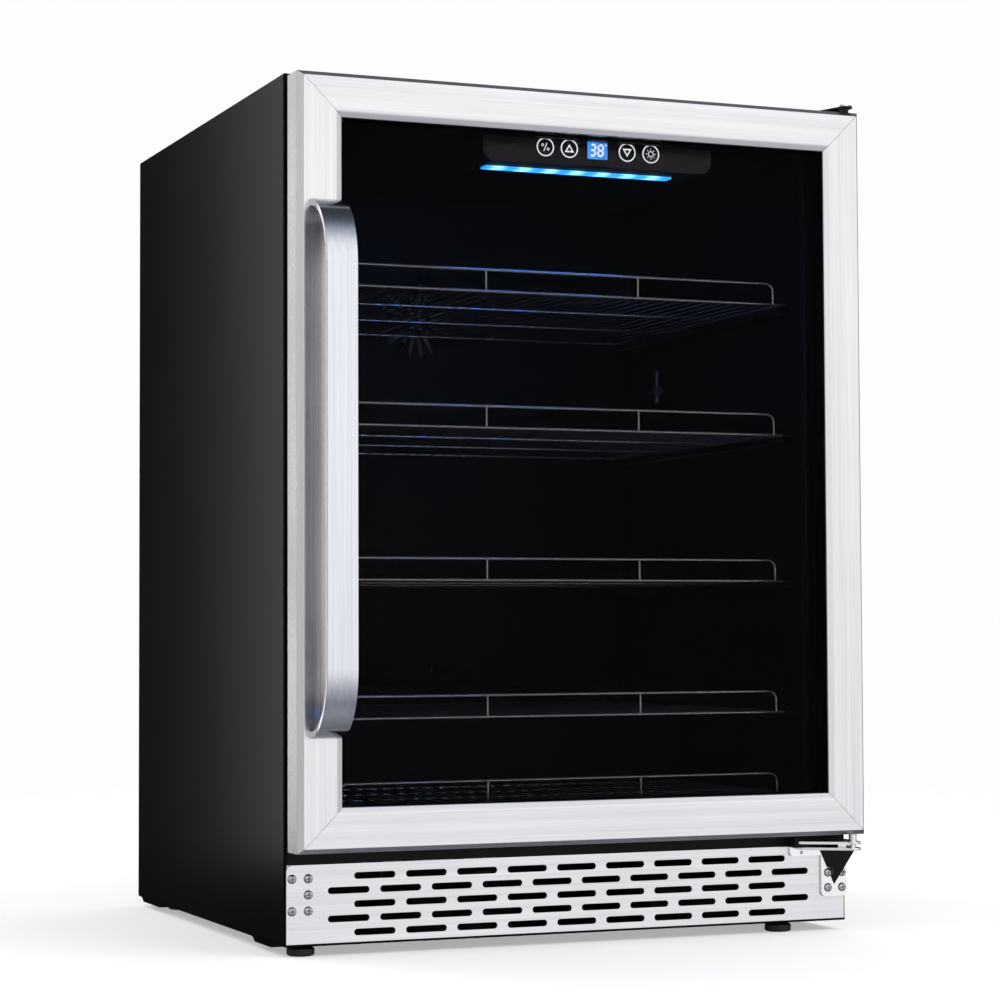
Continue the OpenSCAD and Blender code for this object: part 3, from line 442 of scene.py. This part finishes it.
def rounded(points, radii, steps=5):
    """A closed flat outline, with the corners listed in radii rounded."""
    outline = []
    for i, (x, y) in enumerate(points):
        corner = Vector((x, y))
        radius = radii.get(i, 0)
        if not radius:
            outline.append((x, y))
            continue
        before = (Vector(points[i - 1]) - corner).normalized()
        after = (Vector(points[(i + 1) % len(points)]) - corner).normalized()
        half = before.angle(after) / 2
        centre = corner + (before + after).normalized() * (radius / math.sin(half))
        start = corner + before * (radius / math.tan(half)) - centre
        end = corner + after * (radius / math.tan(half)) - centre
        turn = math.atan2(start.x * end.y - start.y * end.x, start.dot(end))
        for step in range(steps + 1):
            angle = turn * step / steps
            outline.append((centre.x + start.x * math.cos(angle) - start.y * math.sin(angle),
                            centre.y + start.x * math.sin(angle) + start.y * math.cos(angle)))
    return outline


def arc(cx, cy, radius, start_deg, end_deg, steps=24):
    """Points on an arc, both ends included."""
    turn = math.radians(end_deg - start_deg)
    angles = [math.radians(start_deg) + turn * k / steps for k in range(steps + 1)]
    return [(cx + radius * math.cos(angle), cy + radius * math.sin(angle)) for angle in angles]


def ring_outlines(cx, cy, outer, inner, steps):
    """The two outlines of a flat ring."""
    return [arc(cx, cy, radius, 0, 360, steps)[:-1] for radius in (outer, inner)]


def rectangle(x0, y0, x1, y1):
    """The outline of a rectangle, anticlockwise from its low corner."""
    return [(x0, y0), (x1, y0), (x1, y1), (x0, y1)]


def all_four(radius):
    """The same radius for each corner of a rectangle."""
    return dict.fromkeys(range(4), radius)


# A plate's own X, Y and Z become X, Z and -Y when it faces the front, and Y, Z and X across the width.
FACING_FRONT = Matrix(((1, 0, 0), (0, 0, -1), (0, 1, 0))).to_4x4()
ACROSS = Matrix(((0, 0, 1), (1, 0, 0), (0, 1, 0))).to_4x4()


def plate(name, outlines, thickness, edge, turn, shift, sharp_deg=40):
    """A flat plate with holes and rounded edges. Its outlines lie in its own XY plane, centred in Z."""
    curve = bpy.data.curves.new(name, "CURVE")
    curve.dimensions = "2D"
    curve.fill_mode = "BOTH"
    curve.extrude = thickness / 2 - edge
    curve.bevel_depth = edge
    curve.bevel_resolution = 2
    curve.offset = -edge
    for outline in outlines:
        spline = curve.splines.new("POLY")
        spline.points.add(len(outline) - 1)
        for point, (x, y) in zip(spline.points, outline):
            point.co = (x, y, 0, 1)
        spline.use_cyclic_u = True
    source = bpy.data.objects.new(name + "_outline", curve)
    scene.collection.objects.link(source)
    bpy.context.view_layer.update()
    mesh = bpy.data.meshes.new_from_object(source.evaluated_get(bpy.context.evaluated_depsgraph_get()))
    bpy.data.objects.remove(source)
    bpy.data.curves.remove(curve)
    mesh.transform(Matrix.Translation(shift) @ turn)
    points = [vertex.co.copy() for vertex in mesh.vertices]
    faces = [tuple(polygon.vertices) for polygon in mesh.polygons]
    bpy.data.meshes.remove(mesh)
    return mesh_object(name, points, faces, sharp_deg, weld=True)


def around(low, high, profile):
    """Rings of a profile of (inwards, back) swept round the front of a box."""
    corners = ((low.x, low.z, 1, 1), (high.x, low.z, -1, 1), (high.x, high.z, -1, -1), (low.x, high.z, 1, -1))
    return [[Vector((x + side * u, low.y + v, z + level * u)) for u, v in profile]
            for x, z, side, level in corners]


# ---------------------------------------------------------------- cabinet

def build_cabinet():
    """Side panels and top with rolled edges."""
    side_thick, side_edge, side_corner = 4 * MM, 1.6 * MM, 1 * MM
    top_thick, top_edge, fold, sink = 3 * MM, 1 * MM, 2.4 * MM, 0.2 * MM
    seam = 0.3 * MM
    for side, name in ((-1, "side_panel_left"), (1, "side_panel_right")):
        low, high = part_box(name)
        outer = low.x if side < 0 else high.x
        rear, foot = high.y - seam, low.z + seam
        outline = rounded(rectangle(low.y, foot, rear, high.z), all_four(side_corner))
        obj = plate("cabinet_" + name, [outline], side_thick, side_edge, ACROSS,
                    Vector((outer - side * side_thick / 2, 0, 0)))
        add_piece(obj, "black_steel", "cabinet", "black_steel", name)
    low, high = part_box("top_panel")
    outline = rectangle(low.x + fold, low.y, high.x - fold, high.y)
    obj = plate("cabinet_top_panel", [outline], top_thick, top_edge, Matrix.Identity(4),
                Vector((0, 0, high.z - top_thick / 2 - sink)))
    add_piece(obj, "black_steel", "cabinet", "black_steel", "top_panel")


def build_front_frame():
    """Ring that the gasket closes on, set just behind the side panels' rolled edges."""
    low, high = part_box("front_frame")
    inner_low, inner_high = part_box("inner_liner")
    past_liner, set_back, lip = 1.5 * MM, 0.4 * MM, 1.2 * MM
    wall = inner_low.x - low.x + past_liner
    floor = inner_low.z - low.z + past_liner
    ceiling = high.z - inner_high.z + past_liner
    depth = high.y - low.y
    rings = []
    for x, z, side, level, height in ((low.x, low.z, 1, 1, floor), (high.x, low.z, -1, 1, floor),
                                      (high.x, high.z, -1, -1, ceiling), (low.x, high.z, 1, -1, ceiling)):
        profile = [(0, 0, depth), (0, 0, set_back), (wall - lip, height - lip, set_back),
                   (wall - 0.4 * lip, height - 0.4 * lip, set_back + 0.4 * lip),
                   (wall, height, set_back + lip), (wall, height, depth)]
        rings.append([Vector((x + side * u, low.y + v, z + level * w)) for u, w, v in profile])
    shape = Shape()
    shape.skin(rings, closed=True)
    add_piece(shape.object("gasket_seat_frame", 30), "black_plastic", "cabinet", "black_plastic",
              "front_frame")


def build_grille():
    """Kick grille: a thin plate with five rows of slots and punched edges that catch the light."""
    low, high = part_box("kick_grille")
    corner = 6 * MM
    outline = rounded(rectangle(low.x, low.z, high.x, high.z), {2: corner, 3: corner})
    slot_long, slot_high = 41 * MM, 6 * MM
    rows, row_step, first_row = 5, 13.2 * MM, low.z + 9.3 * MM
    pitch, fewer_slots = 52 * MM, 9
    reach = (slot_long - slot_high) / 2
    outlines = [outline]
    for row in range(rows):
        count = fewer_slots + row % 2
        z = first_row + row * row_step
        for column in range(count):
            x = (column - (count - 1) / 2) * pitch
            outlines.append(arc(x + reach, z, slot_high / 2, -90, 90, 10)
                            + arc(x - reach, z, slot_high / 2, 90, 270, 10))
    punched_edge = 0.35 * MM
    obj = plate("slotted_kick_grille", outlines, high.y - low.y, punched_edge, FACING_FRONT,
                Vector((0, (low.y + high.y) / 2, 0)))
    add_piece(obj, "brushed_steel", "cabinet", "brushed_steel", "kick_grille")


def build_feet():
    """Screw-in feet: a fluted pad on a threaded stem."""
    for node in ("foot_front_left", "foot_front_right", "foot_rear_left", "foot_rear_right"):
        low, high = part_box(node)
        centre = Vector(((low.x + high.x) / 2, (low.y + high.y) / 2, low.z))
        radius, tall = (high.x - low.x) / 2, high.z - low.z
        rim = radius - 0.3 * MM
        pad, stem, root = 8 * MM, 4 * MM, 3.5 * MM
        outline = [(0, 0), (radius - 3.2 * MM, 0), (radius - 1.4 * MM, 0.5 * MM), (rim, 1.8 * MM),
                   (rim, 2.6 * MM), (rim, 6.4 * MM), (radius - 0.9 * MM, 7.4 * MM),
                   (radius - 2 * MM, pad), (stem + 1.5 * MM, pad), (stem, pad + 0.2 * MM)]
        thread, crest = 1.25 * MM, stem - 0.05 * MM
        for turn in range(int((tall - pad) / thread) - 1):
            z = pad + 0.6 * MM + turn * thread
            outline += [(root, z), (crest, z + thread / 2)]
        outline += [(root, tall), (0, tall)]
        flutes, flute_depth = 24, 0.35 * MM

        def flute(at, height, angle):
            """Hollows round the pad's rim."""
            on_rim = 2.5 * MM < height < 6.5 * MM and at > radius - 1 * MM
            return -flute_depth * (0.5 + 0.5 * math.cos(flutes * angle)) if on_rim else 0.0

        shape = Shape()
        shape.lathe(outline, centre, sides=96, ripple=flute)
        add_piece(shape.object("levelling_" + node, 50, weld=True), "foot_rubber", node, "foot_rubber", node)


def solids(node):
    """(low, high) corners of each separate solid in a CAD node."""
    work = bmesh.new()
    work.from_mesh(nodes[node].data)
    bmesh.ops.remove_doubles(work, verts=work.verts, dist=0.001 * MM)
    boxes = []
    seen = set()
    for start in work.verts:
        if start in seen:
            continue
        seen.add(start)
        group = [start]
        for vertex in group:
            for edge in vertex.link_edges:
                other = edge.other_vert(vertex)
                if other not in seen:
                    seen.add(other)
                    group.append(other)
        low = Vector([min(vertex.co[i] for vertex in group) for i in range(3)])
        high = Vector([max(vertex.co[i] for vertex in group) for i in range(3)])
        boxes.append((low, high))
    work.free()
    return boxes


def cross_reach(angle, arm, half):
    """How far a cross with this arm and half width reaches at an angle."""
    tiny = 1e-6
    across = max(abs(math.cos(angle)), tiny)
    along = max(abs(math.sin(angle)), tiny)
    return max(min(arm / across, half / along), min(arm / along, half / across))


def screw(shape, low, high):
    """A pan-head screw with a tapered cross recess, or a plain button if it is small."""
    size = high - low
    lying = abs(size.x - size.z) < abs(size.x - size.y)
    radius = size.x / 2
    length = size.y if lying else size.z
    centre = (low + high) / 2
    if lying:
        centre.y = low.y
    else:
        centre.z = high.z
    inwards = 1 if lying else -1
    smallest_crossed = 3 * MM
    if radius < smallest_crossed:
        outline = [(0, 0), (radius - 0.9 * MM, 0), (radius - 0.3 * MM, 0.3 * MM), (radius, 0.9 * MM),
                   (radius, length), (0, length)]
        ripple = None
    else:
        arm, half, cross, shank = 2.4 * MM, 0.75 * MM, 2 * MM, 2 * MM
        top, head, rim = 0.2 * MM, 2.6 * MM, 2.7 * MM
        outline = [(0, 2.1 * MM), (0.45 * cross, 1.7 * MM), (cross, top + 0.25 * MM), (1.08 * cross, top),
                   (rim, top), (3.4 * MM, top + 0.3 * MM), (4.0 * MM, top + 0.9 * MM),
                   (4.35 * MM, top + 1.6 * MM), (radius, head - 0.2 * MM), (radius, head), (shank, head),
                   (shank, length), (0, length)]

        def ripple(at, height, angle):
            """Turns the rings inside the rim into crosses."""
            in_recess = 0 < at < rim and abs(height) < head
            return cross_reach(angle, arm, half) * at / cross - at if in_recess else 0.0

    outline = [(at, inwards * height) for at, height in outline]
    shape.lathe(outline, centre, "Y" if lying else "Z", 64, ripple)


def build_screws():
    """The screws of the kick grille and of the two hinges, one for each solid in the CAD."""
    for node in ("grille_screws", "hinge_screws"):
        shape = Shape()
        for low, high in solids(node):
            screw(shape, low, high)
        obj = shape.object("recessed_" + node, 35, weld=True)
        add_piece(obj, "screw_steel", "cabinet", slot_of[node], node)


# ---------------------------------------------------------------- door

def build_door_frame():
    """Four mitred members: bevelled outside, flat front and an inner edge that rolls in to the glass."""
    low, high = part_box("door_left_stile")
    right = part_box("door_right_stile")[1].x
    left, front, bottom, top = low.x, low.y, low.z, high.z
    wide, deep = high.x - low.x, high.y - low.y
    skin, bevel, bevel_depth, lip_depth = 1.2 * MM, 4.5 * MM, 7 * MM, 4.9 * MM
    roll, roll_depth = 6 * MM, 2.2 * MM
    outline = rounded(
        [(0, deep), (0, bevel_depth), (bevel, 0), (wide - roll, 0), (wide, roll_depth), (wide, lip_depth),
         (wide - skin, lip_depth), (wide - skin, roll_depth + 0.9 * MM), (wide - roll - 0.3 * MM, skin),
         (bevel + 0.6 * MM, skin), (skin, bevel_depth + 0.4 * MM), (skin, deep)],
        {1: 1.6 * MM, 2: 1.0 * MM, 3: 8 * MM, 4: 1.2 * MM})
    gap = 0.2 * MM
    width, height = right - left, top - bottom

    def member(name, material, length, place):
        """One member with mitred ends. place puts a point that is inwards, back and along it."""
        shape = Shape()
        shape.skin([[place(inwards, back, inwards + gap) for inwards, back in outline],
                    [place(inwards, back, length - inwards - gap) for inwards, back in outline]])
        obj = shape.object("steel_" + name, 30)
        add_piece(obj, material, "door", "brushed_steel", "door_" + name)

    member("left_stile", "brushed_upright", height,
           lambda inwards, back, along: Vector((left + inwards, front + back, bottom + along)))
    member("right_stile", "brushed_upright", height,
           lambda inwards, back, along: Vector((right - inwards, front + back, bottom + along)))
    member("top_rail", "brushed_steel", width,
           lambda inwards, back, along: Vector((left + along, front + back, top - inwards)))
    member("bottom_rail", "brushed_steel", width,
           lambda inwards, back, along: Vector((left + along, front + back, bottom + inwards)))


def build_gasket():
    """Door gasket: a folded bellows behind the door, with a wide face that meets the cabinet."""
    low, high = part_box("door_gasket")
    depth = high.y - low.y
    outer_wall = [(2.5, 0), (1.0, 0.1), (0.2, 0.24), (1.6, 0.36), (1.8, 0.44), (0.3, 0.56), (0, 0.72),
                  (0.2, 0.9), (1.4, 1.0)]
    inner_wall = [(17.6, 1.0), (18.8, 0.9), (19, 0.72), (18.6, 0.56), (16.4, 0.44), (16.6, 0.36),
                  (18.2, 0.24), (17.6, 0.1), (16.0, 0)]
    profile = [(inwards * MM, share * depth) for inwards, share in outer_wall + inner_wall]
    shape = Shape()
    shape.skin(around(low, high, profile), closed=True)
    add_piece(shape.object("bellows_gasket", 60), "gasket_rubber", "door", "gasket_rubber", "door_gasket")


def build_handle():
    """Bow handle: a thin strap between two elliptical ends, with eased edges."""
    low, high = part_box("handle")
    half = (high.z - low.z) / 2
    middle = (high.z + low.z) / 2
    door_face = high.y
    reach = high.y - low.y
    run, strap, foot, edge = 65 * MM, 4 * MM, 7 * MM, 0.7 * MM
    steps = 22

    def bow(half_length, depth, bend):
        """Half of the bow, from its top foot round to its straight grip."""
        turns = [math.pi / 2 * (1 - k / steps) for k in range(steps + 1)]
        return [(-depth * math.cos(a), half_length - bend + bend * math.sin(a)) for a in turns]

    outer = bow(half, reach, run)
    inner = bow(half - foot, reach - strap, run - foot)
    outline = outer + [(y, -z) for y, z in reversed(outer)]
    outline += [(y, -z) for y, z in inner] + [(y, z) for y, z in reversed(inner)]
    obj = plate("bow_handle", [outline], high.x - low.x, edge, ACROSS,
                Vector(((low.x + high.x) / 2, door_face, middle)), 30)
    add_piece(obj, "handle_steel", "door", "handle_steel", "handle")


# ---------------------------------------------------------------- shelves

def wire_shelf(node, body):
    """A wire shelf: frame wire, close rods from front to back, cross rods and a guard rail."""
    low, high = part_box(node)
    heavy, rod, post = 1.5 * MM, 1.1 * MM, 1.3 * MM
    bend, guard_bend = 6 * MM, 8 * MM
    pitch, lift, past_rim = 15.2 * MM, 0.4 * MM, 0.2 * MM
    guard_half, post_x = 234.5 * MM, 82 * MM
    z, top = low.z + heavy, high.z - heavy
    x0, x1, y0, y1 = low.x + heavy, high.x - heavy, low.y + heavy, high.y - heavy
    shape = Shape()
    rim = rounded(rectangle(x0, y0, x1, y1), all_four(bend), 6)
    shape.wire([Vector((x, y, z)) for x, y in rim], heavy, closed=True)
    count = int((x1 - x0) / pitch / 2)
    for n in range(-count, count + 1):
        x = n * pitch
        if min(x - x0, x1 - x) > 2 * rod:
            shape.wire([Vector((x, y0 - past_rim, z + lift)), Vector((x, y1, z + lift))], rod, 8)
    for share in (1 / 3, 2 / 3):
        y = y0 + (y1 - y0) * share
        shape.wire([Vector((x0, y, z - lift)), Vector((x1, y, z - lift))], rod, 8)
    turn_x, turn_z = guard_half - guard_bend, top - guard_bend
    hoop = [(-guard_half, z)] + arc(-turn_x, turn_z, guard_bend, 180, 90, 8)
    hoop += arc(turn_x, turn_z, guard_bend, 90, 0, 8) + [(guard_half, z)]
    shape.wire([Vector((x, y0, height)) for x, height in hoop], heavy)
    for x in (-post_x, post_x):
        shape.wire([Vector((x, y0, z)), Vector((x, y0, top))], post)
    add_piece(shape.object("wire_" + node, 60), "shelf_wire", body, "shelf_wire", node)


def build_shelves():
    """Four shelves that slide, and the rack on the liner's floor."""
    for number in range(1, 5):
        wire_shelf(f"shelf_{number}", f"shelf_{number}")
    wire_shelf("bottom_rack", "cabinet")


# ---------------------------------------------------------------- control panel

def segment_digit(segments, x, z, width, height, bar):
    """Outlines of a seven-segment digit whose middle is at x, z. Segments are named a to g."""
    half = height / 2
    gap, lean = bar * 0.12, 0.08
    lying = {"a": half - bar / 2, "g": 0, "d": -half + bar / 2}
    standing = {"f": (-1, 1), "b": (1, 1), "e": (-1, -1), "c": (1, -1)}
    outlines = []
    for name in segments:
        if name in lying:
            length, centre_x, centre_z = width - bar - 2 * gap, 0, lying[name]
            points = [(-length / 2, 0), (-length / 2 + bar / 2, bar / 2), (length / 2 - bar / 2, bar / 2),
                      (length / 2, 0), (length / 2 - bar / 2, -bar / 2), (-length / 2 + bar / 2, -bar / 2)]
        else:
            side, level = standing[name]
            length = half - bar / 2 - 2 * gap
            centre_x, centre_z = side * (width - bar) / 2, level * (half - bar / 2) / 2
            points = [(0, -length / 2), (bar / 2, -length / 2 + bar / 2), (bar / 2, length / 2 - bar / 2),
                      (0, length / 2), (-bar / 2, length / 2 - bar / 2), (-bar / 2, -length / 2 + bar / 2)]
        moved = [(px + centre_x, pz + centre_z) for px, pz in points]
        outlines.append([(x + px + lean * pz, z + pz) for px, pz in moved])
    return outlines


def triangle(x, z, size, up):
    """Outline of a triangle that points up or down."""
    tip = size if up else -size
    base = z - 0.62 * tip
    return [(x - size, base), (x + size, base), (x, z + tip)]


def symbol_outlines(centre_z):
    """Outlines of the four touch symbols, each in a ring."""
    marks = []
    places = {"unit": -32.8 * MM, "up": -7.2 * MM, "down": 55.2 * MM, "lamp": 81.1 * MM}
    for x in places.values():
        marks += ring_outlines(x, centre_z, 9.2 * MM, 8.0 * MM, 48)
    x = places["unit"]
    marks.append([(x - 2.2 * MM, centre_z - 4.0 * MM), (x - 1.3 * MM, centre_z - 4.0 * MM),
                  (x + 2.2 * MM, centre_z + 4.0 * MM), (x + 1.3 * MM, centre_z + 4.0 * MM)])
    for side in (-1, 1):
        marks += ring_outlines(x + side * 2.9 * MM, centre_z - side * 2.0 * MM, 1.4 * MM, 0.8 * MM, 20)
    for name, up in (("up", True), ("down", False)):
        shift = 0.6 * MM if up else -0.6 * MM
        marks += [triangle(places[name], centre_z - shift, 5.0 * MM, up),
                  triangle(places[name], centre_z - shift, 2.7 * MM, up)]
    x = places["lamp"]
    marks += ring_outlines(x, centre_z, 3.0 * MM, 2.2 * MM, 32)
    rays, start, end, half = 8, 3.9 * MM, 5.4 * MM, 0.35 * MM
    for ray in range(rays):
        angle = 2 * math.pi * ray / rays
        along = Vector((math.cos(angle), math.sin(angle)))
        across = Vector((-along.y, along.x))
        corners = [along * out + across * aside for out, aside in rectangle(start, -half, end, half)]
        marks.append([(x + corner.x, centre_z + corner.y) for corner in corners])
    return marks


def build_window():
    """Glossy control window with rounded lower corners."""
    low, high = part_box("control_window")
    corner, edge, gap = 12 * MM, 0.6 * MM, 0.3 * MM
    outline = rounded(rectangle(low.x, low.z, high.x, high.z - gap), {0: corner, 1: corner}, 12)
    window = plate("touch_window", [outline], high.y - low.y, edge, FACING_FRONT,
                   Vector((0, (low.y + high.y) / 2, 0)), 30)
    add_piece(window, "gloss_black", "cabinet", "gloss_black", "control_window")


def build_display():
    """The lit screen with its reading, and the lit touch symbols, as films on the window's face."""
    low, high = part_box("display_module")
    film, film_edge, raised = 0.16 * MM, 0.03 * MM, 0.8 * MM
    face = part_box("control_window")[0].y - film / 2
    x_mid, z_mid = (low.x + high.x) / 2, (low.z + high.z) / 2 + raised

    def add_film(name, outlines, y, material, slot):
        """A thin layer on the cabinet whose middle is at y."""
        obj = plate(name, outlines, film, film_edge, FACING_FRONT, Vector((0, y, 0)))
        add_piece(obj, material, "cabinet", slot)

    half_x, half_z, corner = 10.8 * MM, 8.8 * MM, 0.6 * MM
    screen = rectangle(x_mid - half_x, z_mid - half_z, x_mid + half_x, z_mid + half_z)
    add_film("lit_screen", [rounded(screen, all_four(corner))], face, "display_blue", "display_blue")
    digit = (7.0 * MM, 12.6 * MM, 1.9 * MM)
    reading = segment_digit("abgcd", x_mid - 5.0 * MM, z_mid, *digit)
    reading += segment_digit("abcdefg", x_mid + 3.4 * MM, z_mid, *digit)
    reading += ring_outlines(x_mid + 8.9 * MM, z_mid + 5.6 * MM, 1.0 * MM, 0.5 * MM, 16)
    add_film("screen_reading", reading, face - film, "lit_print", "lamp_white")
    add_film("touch_symbols", symbol_outlines(z_mid), face, "lit_print", "lamp_white")


# ---------------------------------------------------------------- CAD nodes shown as they are

def soften(node, width):
    """Rounds a CAD node's edges slightly, with modifiers only."""
    obj = nodes[node]
    weld_step = obj.modifiers.new("weld", "WELD")
    weld_step.merge_threshold = 0.01 * MM
    bevel = obj.modifiers.new("soft_edges", "BEVEL")
    bevel.width = width
    bevel.segments = 2
    bevel.limit_method = "ANGLE"
    bevel.angle_limit = math.radians(40)
    bevel.harden_normals = True


def ease_edges():
    """Takes the knife edge off the folded, moulded and cut pieces."""
    for node in ("base_tray", "rear_panel", "upper_hinge_plate", "corner_plates"):
        soften(node, 0.3 * MM)
    for node in ("lower_hinge_bracket", "hinge_gusset", "outer_glass", "inner_glass"):
        soften(node, 0.4 * MM)
    for node in ("door_stop_block", "drain_pan", "shelf_ledges"):
        soften(node, 0.6 * MM)
    soften("power_box", 1 * MM)


# ---------------------------------------------------------------- stage

def build_camera():
    """A long lens low at the front left of the cooler."""
    place = Vector((-1.06855, -2.64095, 0.30594))
    yaw, pitch, roll = math.radians(22.226), math.radians(2.7149), math.radians(-0.2257)
    forward = Vector((math.sin(yaw) * math.cos(pitch), math.cos(yaw) * math.cos(pitch), math.sin(pitch)))
    right = forward.cross(Vector((0, 0, 1))).normalized()
    up = right.cross(forward)
    rolled_right = right * math.cos(roll) + up * math.sin(roll)
    rolled_up = up * math.cos(roll) - right * math.sin(roll)
    data = bpy.data.cameras.new("camera")
    data.lens = 97.44
    data.sensor_width = 36.0
    data.clip_start = 0.05
    camera = bpy.data.objects.new("camera", data)
    turn = Matrix((rolled_right, rolled_up, -forward)).transposed().to_4x4()
    camera.matrix_world = Matrix.Translation(place) @ turn
    scene.collection.objects.link(camera)
    scene.camera = camera


def build_floor():
    """A wide pale floor that the cooler does not mirror and that casts no shadow."""
    mesh = bpy.data.meshes.new("studio_floor")
    reach = 4.0
    mesh.from_pydata([(-reach, -reach, 0), (reach, -reach, 0), (reach, reach, 0), (-reach, reach, 0)], [],
                     [(0, 1, 2, 3)])
    floor = bpy.data.objects.new("studio_floor", mesh)
    floor.data.materials.append(pale_floor())
    floor.visible_glossy = False
    floor.visible_shadow = False
    scene.collection.objects.link(floor)


def softbox(name, place, aim, size, power, colour=(1, 1, 1), glossy=True):
    """A rectangular light that points from its place to aim. Mirroring surfaces show it if glossy."""
    data = bpy.data.lights.new(name, "AREA")
    data.shape = "RECTANGLE"
    data.size, data.size_y = size
    data.energy = power
    data.color = colour
    light = bpy.data.objects.new(name, data)
    light.location = place
    light.rotation_euler = (Vector(aim) - Vector(place)).to_track_quat("-Z", "Y").to_euler()
    light.visible_camera = False
    light.visible_glossy = glossy
    scene.collection.objects.link(light)


def build_lights():
    """Broad lights for matt surfaces, a card that each side mirrors, and the cold glow inside."""
    middle = (0, 0, 0.4)
    softbox("key_light", (1.3, -2.6, 2.6), middle, (1.8, 1.8), 60, glossy=False)
    softbox("fill_light", (-1.8, 1.8, 2.2), middle, (1.6, 1.6), 25, glossy=False)
    for side in (-1, 1):
        softbox(f"side_card_{side}", (side * 0.86, 1.21, 0.66), (side * 0.30, 0.0, 0.5), (0.22, 1.42), 2.0)
    low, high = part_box("light_diffuser")
    lamp_x, lamp_y, below = (low.x + high.x) / 2, (low.y + high.y) / 2, 1 * MM
    softbox("lamp_glow", (lamp_x, lamp_y, low.z - below), (lamp_x, 0.05, 0.3),
            (high.x - low.x, high.y - low.y), 1.0, (0.02, 0.2, 1.0))


def build_world():
    """White for what the camera and matt surfaces see. Mirroring ones see soft lights in the dark."""
    world = bpy.data.worlds.new("studio")
    world.use_nodes = True
    scene.world = world
    graph = Graph(world.node_tree)
    background = world.node_tree.nodes["Background"]
    direction = graph.add("TexCoord").outputs["Generated"]
    height = graph.add("SeparateXYZ", {0: direction}).outputs["Z"]
    level = graph.add("VectorMath", {0: direction, 1: (1, 1, 0)}, operation="MULTIPLY").outputs[0]
    level = graph.add("VectorMath", {0: level}, operation="NORMALIZE").outputs[0]

    def glow(azimuth, inner, outer, peak):
        """A soft upright light round an azimuth, counted from the front towards the right."""
        towards = (math.sin(math.radians(azimuth)), -math.cos(math.radians(azimuth)), 0)
        facing = graph.add("VectorMath", {0: level, 1: towards}, operation="DOT_PRODUCT")
        return graph.remap(facing.outputs["Value"], 0, peak, math.cos(math.radians(outer)),
                           math.cos(math.radians(inner)), smooth=True)

    strength = graph.remap(graph.math("ABSOLUTE", height), 0.02, 0.42, 0.45, 0.8, smooth=True)
    for lamp in ((8, 15, 85, 1.12), (22, 2, 24, 0.2), (-98, 12, 42, 0.75), (96, 10, 34, 0.5)):
        strength = graph.math("ADD", glow(*lamp), strength)
    ramp = graph.add("ValToRGB", {0: graph.remap(height, 0, 1, -1, 1)})
    stops = [(-1.0, rgb(0.28, 0.29, 0.32)), (-0.70, rgb(0.19, 0.2, 0.23)), (-0.42, rgb(0.5, 0.5, 0.54)),
             (-0.12, rgb(0.94, 0.94, 0.955)), (0.15, rgb(1.12, 1.12, 1.12)), (0.5, rgb(1.06, 1.06, 1.08)),
             (0.72, rgb(0.4, 0.43, 0.5)), (0.88, rgb(0.09, 0.105, 0.135)), (1.0, rgb(0.03, 0.032, 0.038))]
    elements = ramp.color_ramp.elements
    while len(elements) < len(stops):
        elements.new(0.5)
    for element, (z, colour) in zip(elements, stops):
        element.position = (z + 1) / 2
        element.color = colour
    mirrored = graph.add("VectorMath", {0: ramp.outputs[0], "Scale": strength}, operation="SCALE").outputs[0]
    is_mirror = graph.add("LightPath").outputs["Is Glossy Ray"]
    graph.put(background.inputs["Color"], graph.blend(is_mirror, rgb(0.985, 0.987, 0.99), mirrored))


build_cabinet()
build_front_frame()
build_grille()
build_feet()
build_screws()
build_door_frame()
build_gasket()
build_handle()
build_shelves()
build_window()
build_display()
ease_edges()
build_camera()
build_floor()
build_lights()
build_world()
scene.view_settings.view_transform = "Standard"
